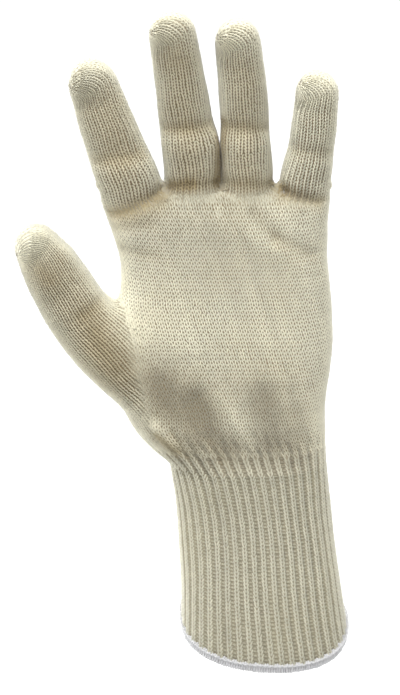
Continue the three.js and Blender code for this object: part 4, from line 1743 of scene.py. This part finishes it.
@dataclass
class OverlockHem:
    """The hem: a band round the mouth with overlock thread wound over it in close, slanted turns.

    thread: half its breadth. loops: of the chain that runs along the upper edge, with `chain_steps`
    points in it. band: points along and round the band.
    """

    finish: KnitFinish
    cuff: RibCuff
    thickness: float = 3.4
    height: float = 4.5
    thread: float = 0.5
    turns: int = 190
    steps_per_turn: int = 12
    sides: int = 5
    loops: int = 96
    chain_steps: int = 1600
    band: tuple = (240, 12)

    def frame_at(self, count: int) -> tuple:
        """Lay the band's middle line round the mouth.

        Args:
            count: points on it.

        Returns:
            The points, and their outward and upward directions.
        """
        flat = self.cuff.rings(np.zeros(1), count, self.thickness / 2 - 0.3)[0]
        line = flat.copy()
        line[:, 2] = self.cuff.mouth_height(flat[:, 0], flat[:, 1]) + self.height / 2 - 0.1
        ahead = np.roll(line, -1, axis=0) - np.roll(line, 1, axis=0)
        out = unit(np.cross(ahead, np.array([0, 0, 1.0])))
        up = unit(np.cross(out, ahead))
        return line, out, np.where(up[:, 2:] < 0, -up, up)

    def build(self) -> None:
        """Make the band, the thread wound on it and the chain of loops along its upper edge."""
        soup = Soup()
        line, out, up = self.frame_at(self.band[0])
        angle = (np.arange(self.band[1]) + 0.5) / self.band[1] * 2 * math.pi
        c, s = signed_power(np.cos(angle), 0.75), signed_power(np.sin(angle), 0.75)
        w, h = self.thickness / 2 - self.thread, self.height / 2 - self.thread
        grid = line[:, None] + c[:, None] * w * out[:, None] + s[:, None] * h * up[:, None]
        # painted shade: the band, seen between the turns of thread, leans to the deep colour
        self.add_grid(soup, grid, 0.0, 0.3)
        steps = self.turns * self.steps_per_turn
        random = np.random.default_rng(SEED + 2)
        t = np.arange(steps) / steps
        line, out, up = self.frame_at(steps)
        turn = t * self.turns * 2 * math.pi
        loose = np.interp(t, np.linspace(0, 1, 400), random.normal(0, 0.16, 400))
        c, s = signed_power(np.cos(turn), 0.8)[:, None], signed_power(np.sin(turn), 0.8)[:, None]
        reach = (self.thread * (0.4 + loose))[:, None]
        centre = line + c * (w + reach) * out + s * (h + reach) * up
        away = unit(c * out + s * up)
        tone = np.repeat(random.normal(0, 1, steps // 4).repeat(4), self.sides)
        self.add_thread(soup, centre, away, self.thread * (1 + 0.5 * loose), tone)
        t = np.arange(self.chain_steps) / self.chain_steps
        line, out, up = self.frame_at(self.chain_steps)
        wave = t * 2 * math.pi * self.loops
        centre = line + (w + 0.75 + 0.2 * np.cos(2 * wave))[:, None] * out
        centre = centre + (h + 0.1 + 0.35 * np.sin(wave))[:, None] * up
        self.add_thread(soup, centre, out, np.full(self.chain_steps, 0.3), 0.5)
        soup.build("hem_overlock_thread", self.finish.build(), Slot.HEM, ("hem_overlock",))

    def add_thread(self, soup: Soup, centre: Array, away: Array, radius: Array, tone: object) -> None:
        """Add a closed round thread along a line of points.

        Args:
            soup: where it goes.
            centre: the line.
            away: about outward, at each point.
            radius: at each point.
            tone: its tone.
        """
        ahead = unit(np.roll(centre, -1, axis=0) - np.roll(centre, 1, axis=0))
        away = unit(away - (away * ahead).sum(axis=1, keepdims=True) * ahead)
        across = np.cross(ahead, away)
        ring = (np.arange(self.sides) / self.sides * 2 * math.pi)[None, :, None]
        spoke = np.cos(ring) * away[:, None] + np.sin(ring) * across[:, None]
        self.add_grid(soup, centre[:, None] + radius[:, None, None] * spoke, tone, 0.9)

    @staticmethod
    def add_grid(soup: Soup, grid: Array, tone: object, crest: float) -> None:
        """Add a grid that closes both ways.

        Args:
            soup: where it goes.
            grid: rows by columns by 3.
            tone: its tone.
            crest: its crest.
        """
        rows, columns = grid.shape[:2]
        i, j = np.arange(rows)[:, None], np.arange(columns)[None, :]
        uv = np.stack(np.broadcast_arrays(j / columns, i * 0.12), axis=-1).reshape(-1, 2)
        soup.add(grid.reshape(-1, 3), ring_quads(rows, columns, True)[:, ::-1], uv, tone, crest)


# ---- stage ----


@dataclass
class Studio:
    """A pale floor far below the glove, soft light and the camera at the photograph's angle.

    lights: name, place and aim in metres, size in metres, watts.
    """

    camera_at: tuple = (-28.64, -837.72, 437.07)
    elevation: float = 20.0
    lens: float = 108.4
    floor_height: float = -300.0
    floor_size: float = 12.0
    sky: float = 0.36
    lights: tuple = (
        ("overhead", (-0.2, -0.55, 1.58), (-0.03, 0, 0.14), 0.6, 30),
        ("backdrop", (0, 2.3, 2.0), (0, 2.1, -0.3), 2.4, 62),
        ("left_edge", (-1.1, 0.4, 0.45), (-0.03, 0, 0.14), 0.9, 13),
        ("right_edge", (1.1, 0.4, 0.45), (-0.03, 0, 0.14), 0.9, 7),
    )

    def build(self) -> None:
        """Make the floor, the lights, the world and the camera."""
        scene = bpy.context.scene
        mesh = bpy.data.meshes.new("floor")
        size, z = self.floor_size, self.floor_height * MM
        corners = [(-size, -size, z), (size, -size, z), (size, size, z), (-size, size, z)]
        mesh.from_pydata(corners, [], [(0, 1, 2, 3)])
        floor = bpy.data.objects.new("floor", mesh)
        scene.collection.objects.link(floor)
        pale = bpy.data.materials.new("pale_floor")
        pale.use_nodes = True
        shader = pale.node_tree.nodes["Principled BSDF"]
        shader.inputs["Base Color"].default_value = (0.93, 0.93, 0.93, 1)
        shader.inputs["Roughness"].default_value = 1.0
        mesh.materials.append(pale)
        world = bpy.data.worlds.new("soft_sky")
        world.use_nodes = True
        sky = world.node_tree.nodes["Background"]
        sky.inputs[0].default_value = (1, 1, 1, 1)
        sky.inputs[1].default_value = self.sky
        scene.world = world
        for light in self.lights:
            self.light(*light)
        camera = bpy.data.objects.new("camera", bpy.data.cameras.new("camera"))
        scene.collection.objects.link(camera)
        camera.location = Vector(self.camera_at) * MM
        camera.rotation_euler = (math.radians(90 - self.elevation), 0, 0)
        camera.data.lens = self.lens
        camera.data.sensor_width = 36
        camera.data.sensor_fit = "AUTO"
        scene.camera = camera
        scene.view_settings.view_transform = "Standard"

    @staticmethod
    def light(name: str, place: tuple, aim: tuple, size: float, watts: float) -> None:
        """Add a square soft light that points at a place.

        Args:
            name: its name.
            place: where it is.
            aim: where it points.
            size: its side.
            watts: its power.
        """
        lamp = bpy.data.lights.new(name, "AREA")
        lamp.size, lamp.energy = size, watts
        made = bpy.data.objects.new(name, lamp)
        bpy.context.scene.collection.objects.link(made)
        made.location = place
        made.rotation_euler = (Vector(aim) - Vector(place)).to_track_quat("-Z", "Y").to_euler()


def main() -> None:
    logging.basicConfig(level=logging.INFO, format="%(name)s: %(message)s")
    Studio().build()
    # each finish: the yarn's colour, the painted shade of the gaps, and the warm colour of the creases'
    # painted shade and of stains
    HandKnit(KnitFinish("cream_knit", (0.78, 0.755, 0.60), (0.17, 0.13, 0.075), (0.49, 0.38, 0.19))).build()
    cuff = RibCuff(KnitFinish("cream_rib", (0.725, 0.7, 0.56), (0.21, 0.175, 0.1), (0.42, 0.38, 0.22)))
    cuff.build()
    hem = KnitFinish("white_thread", (0.65, 0.65, 0.66), (0.34, 0.33, 0.34), (0.56, 0.54, 0.56), 0.1)
    OverlockHem(hem, cuff).build()


if __name__ == "__main__":
    main()
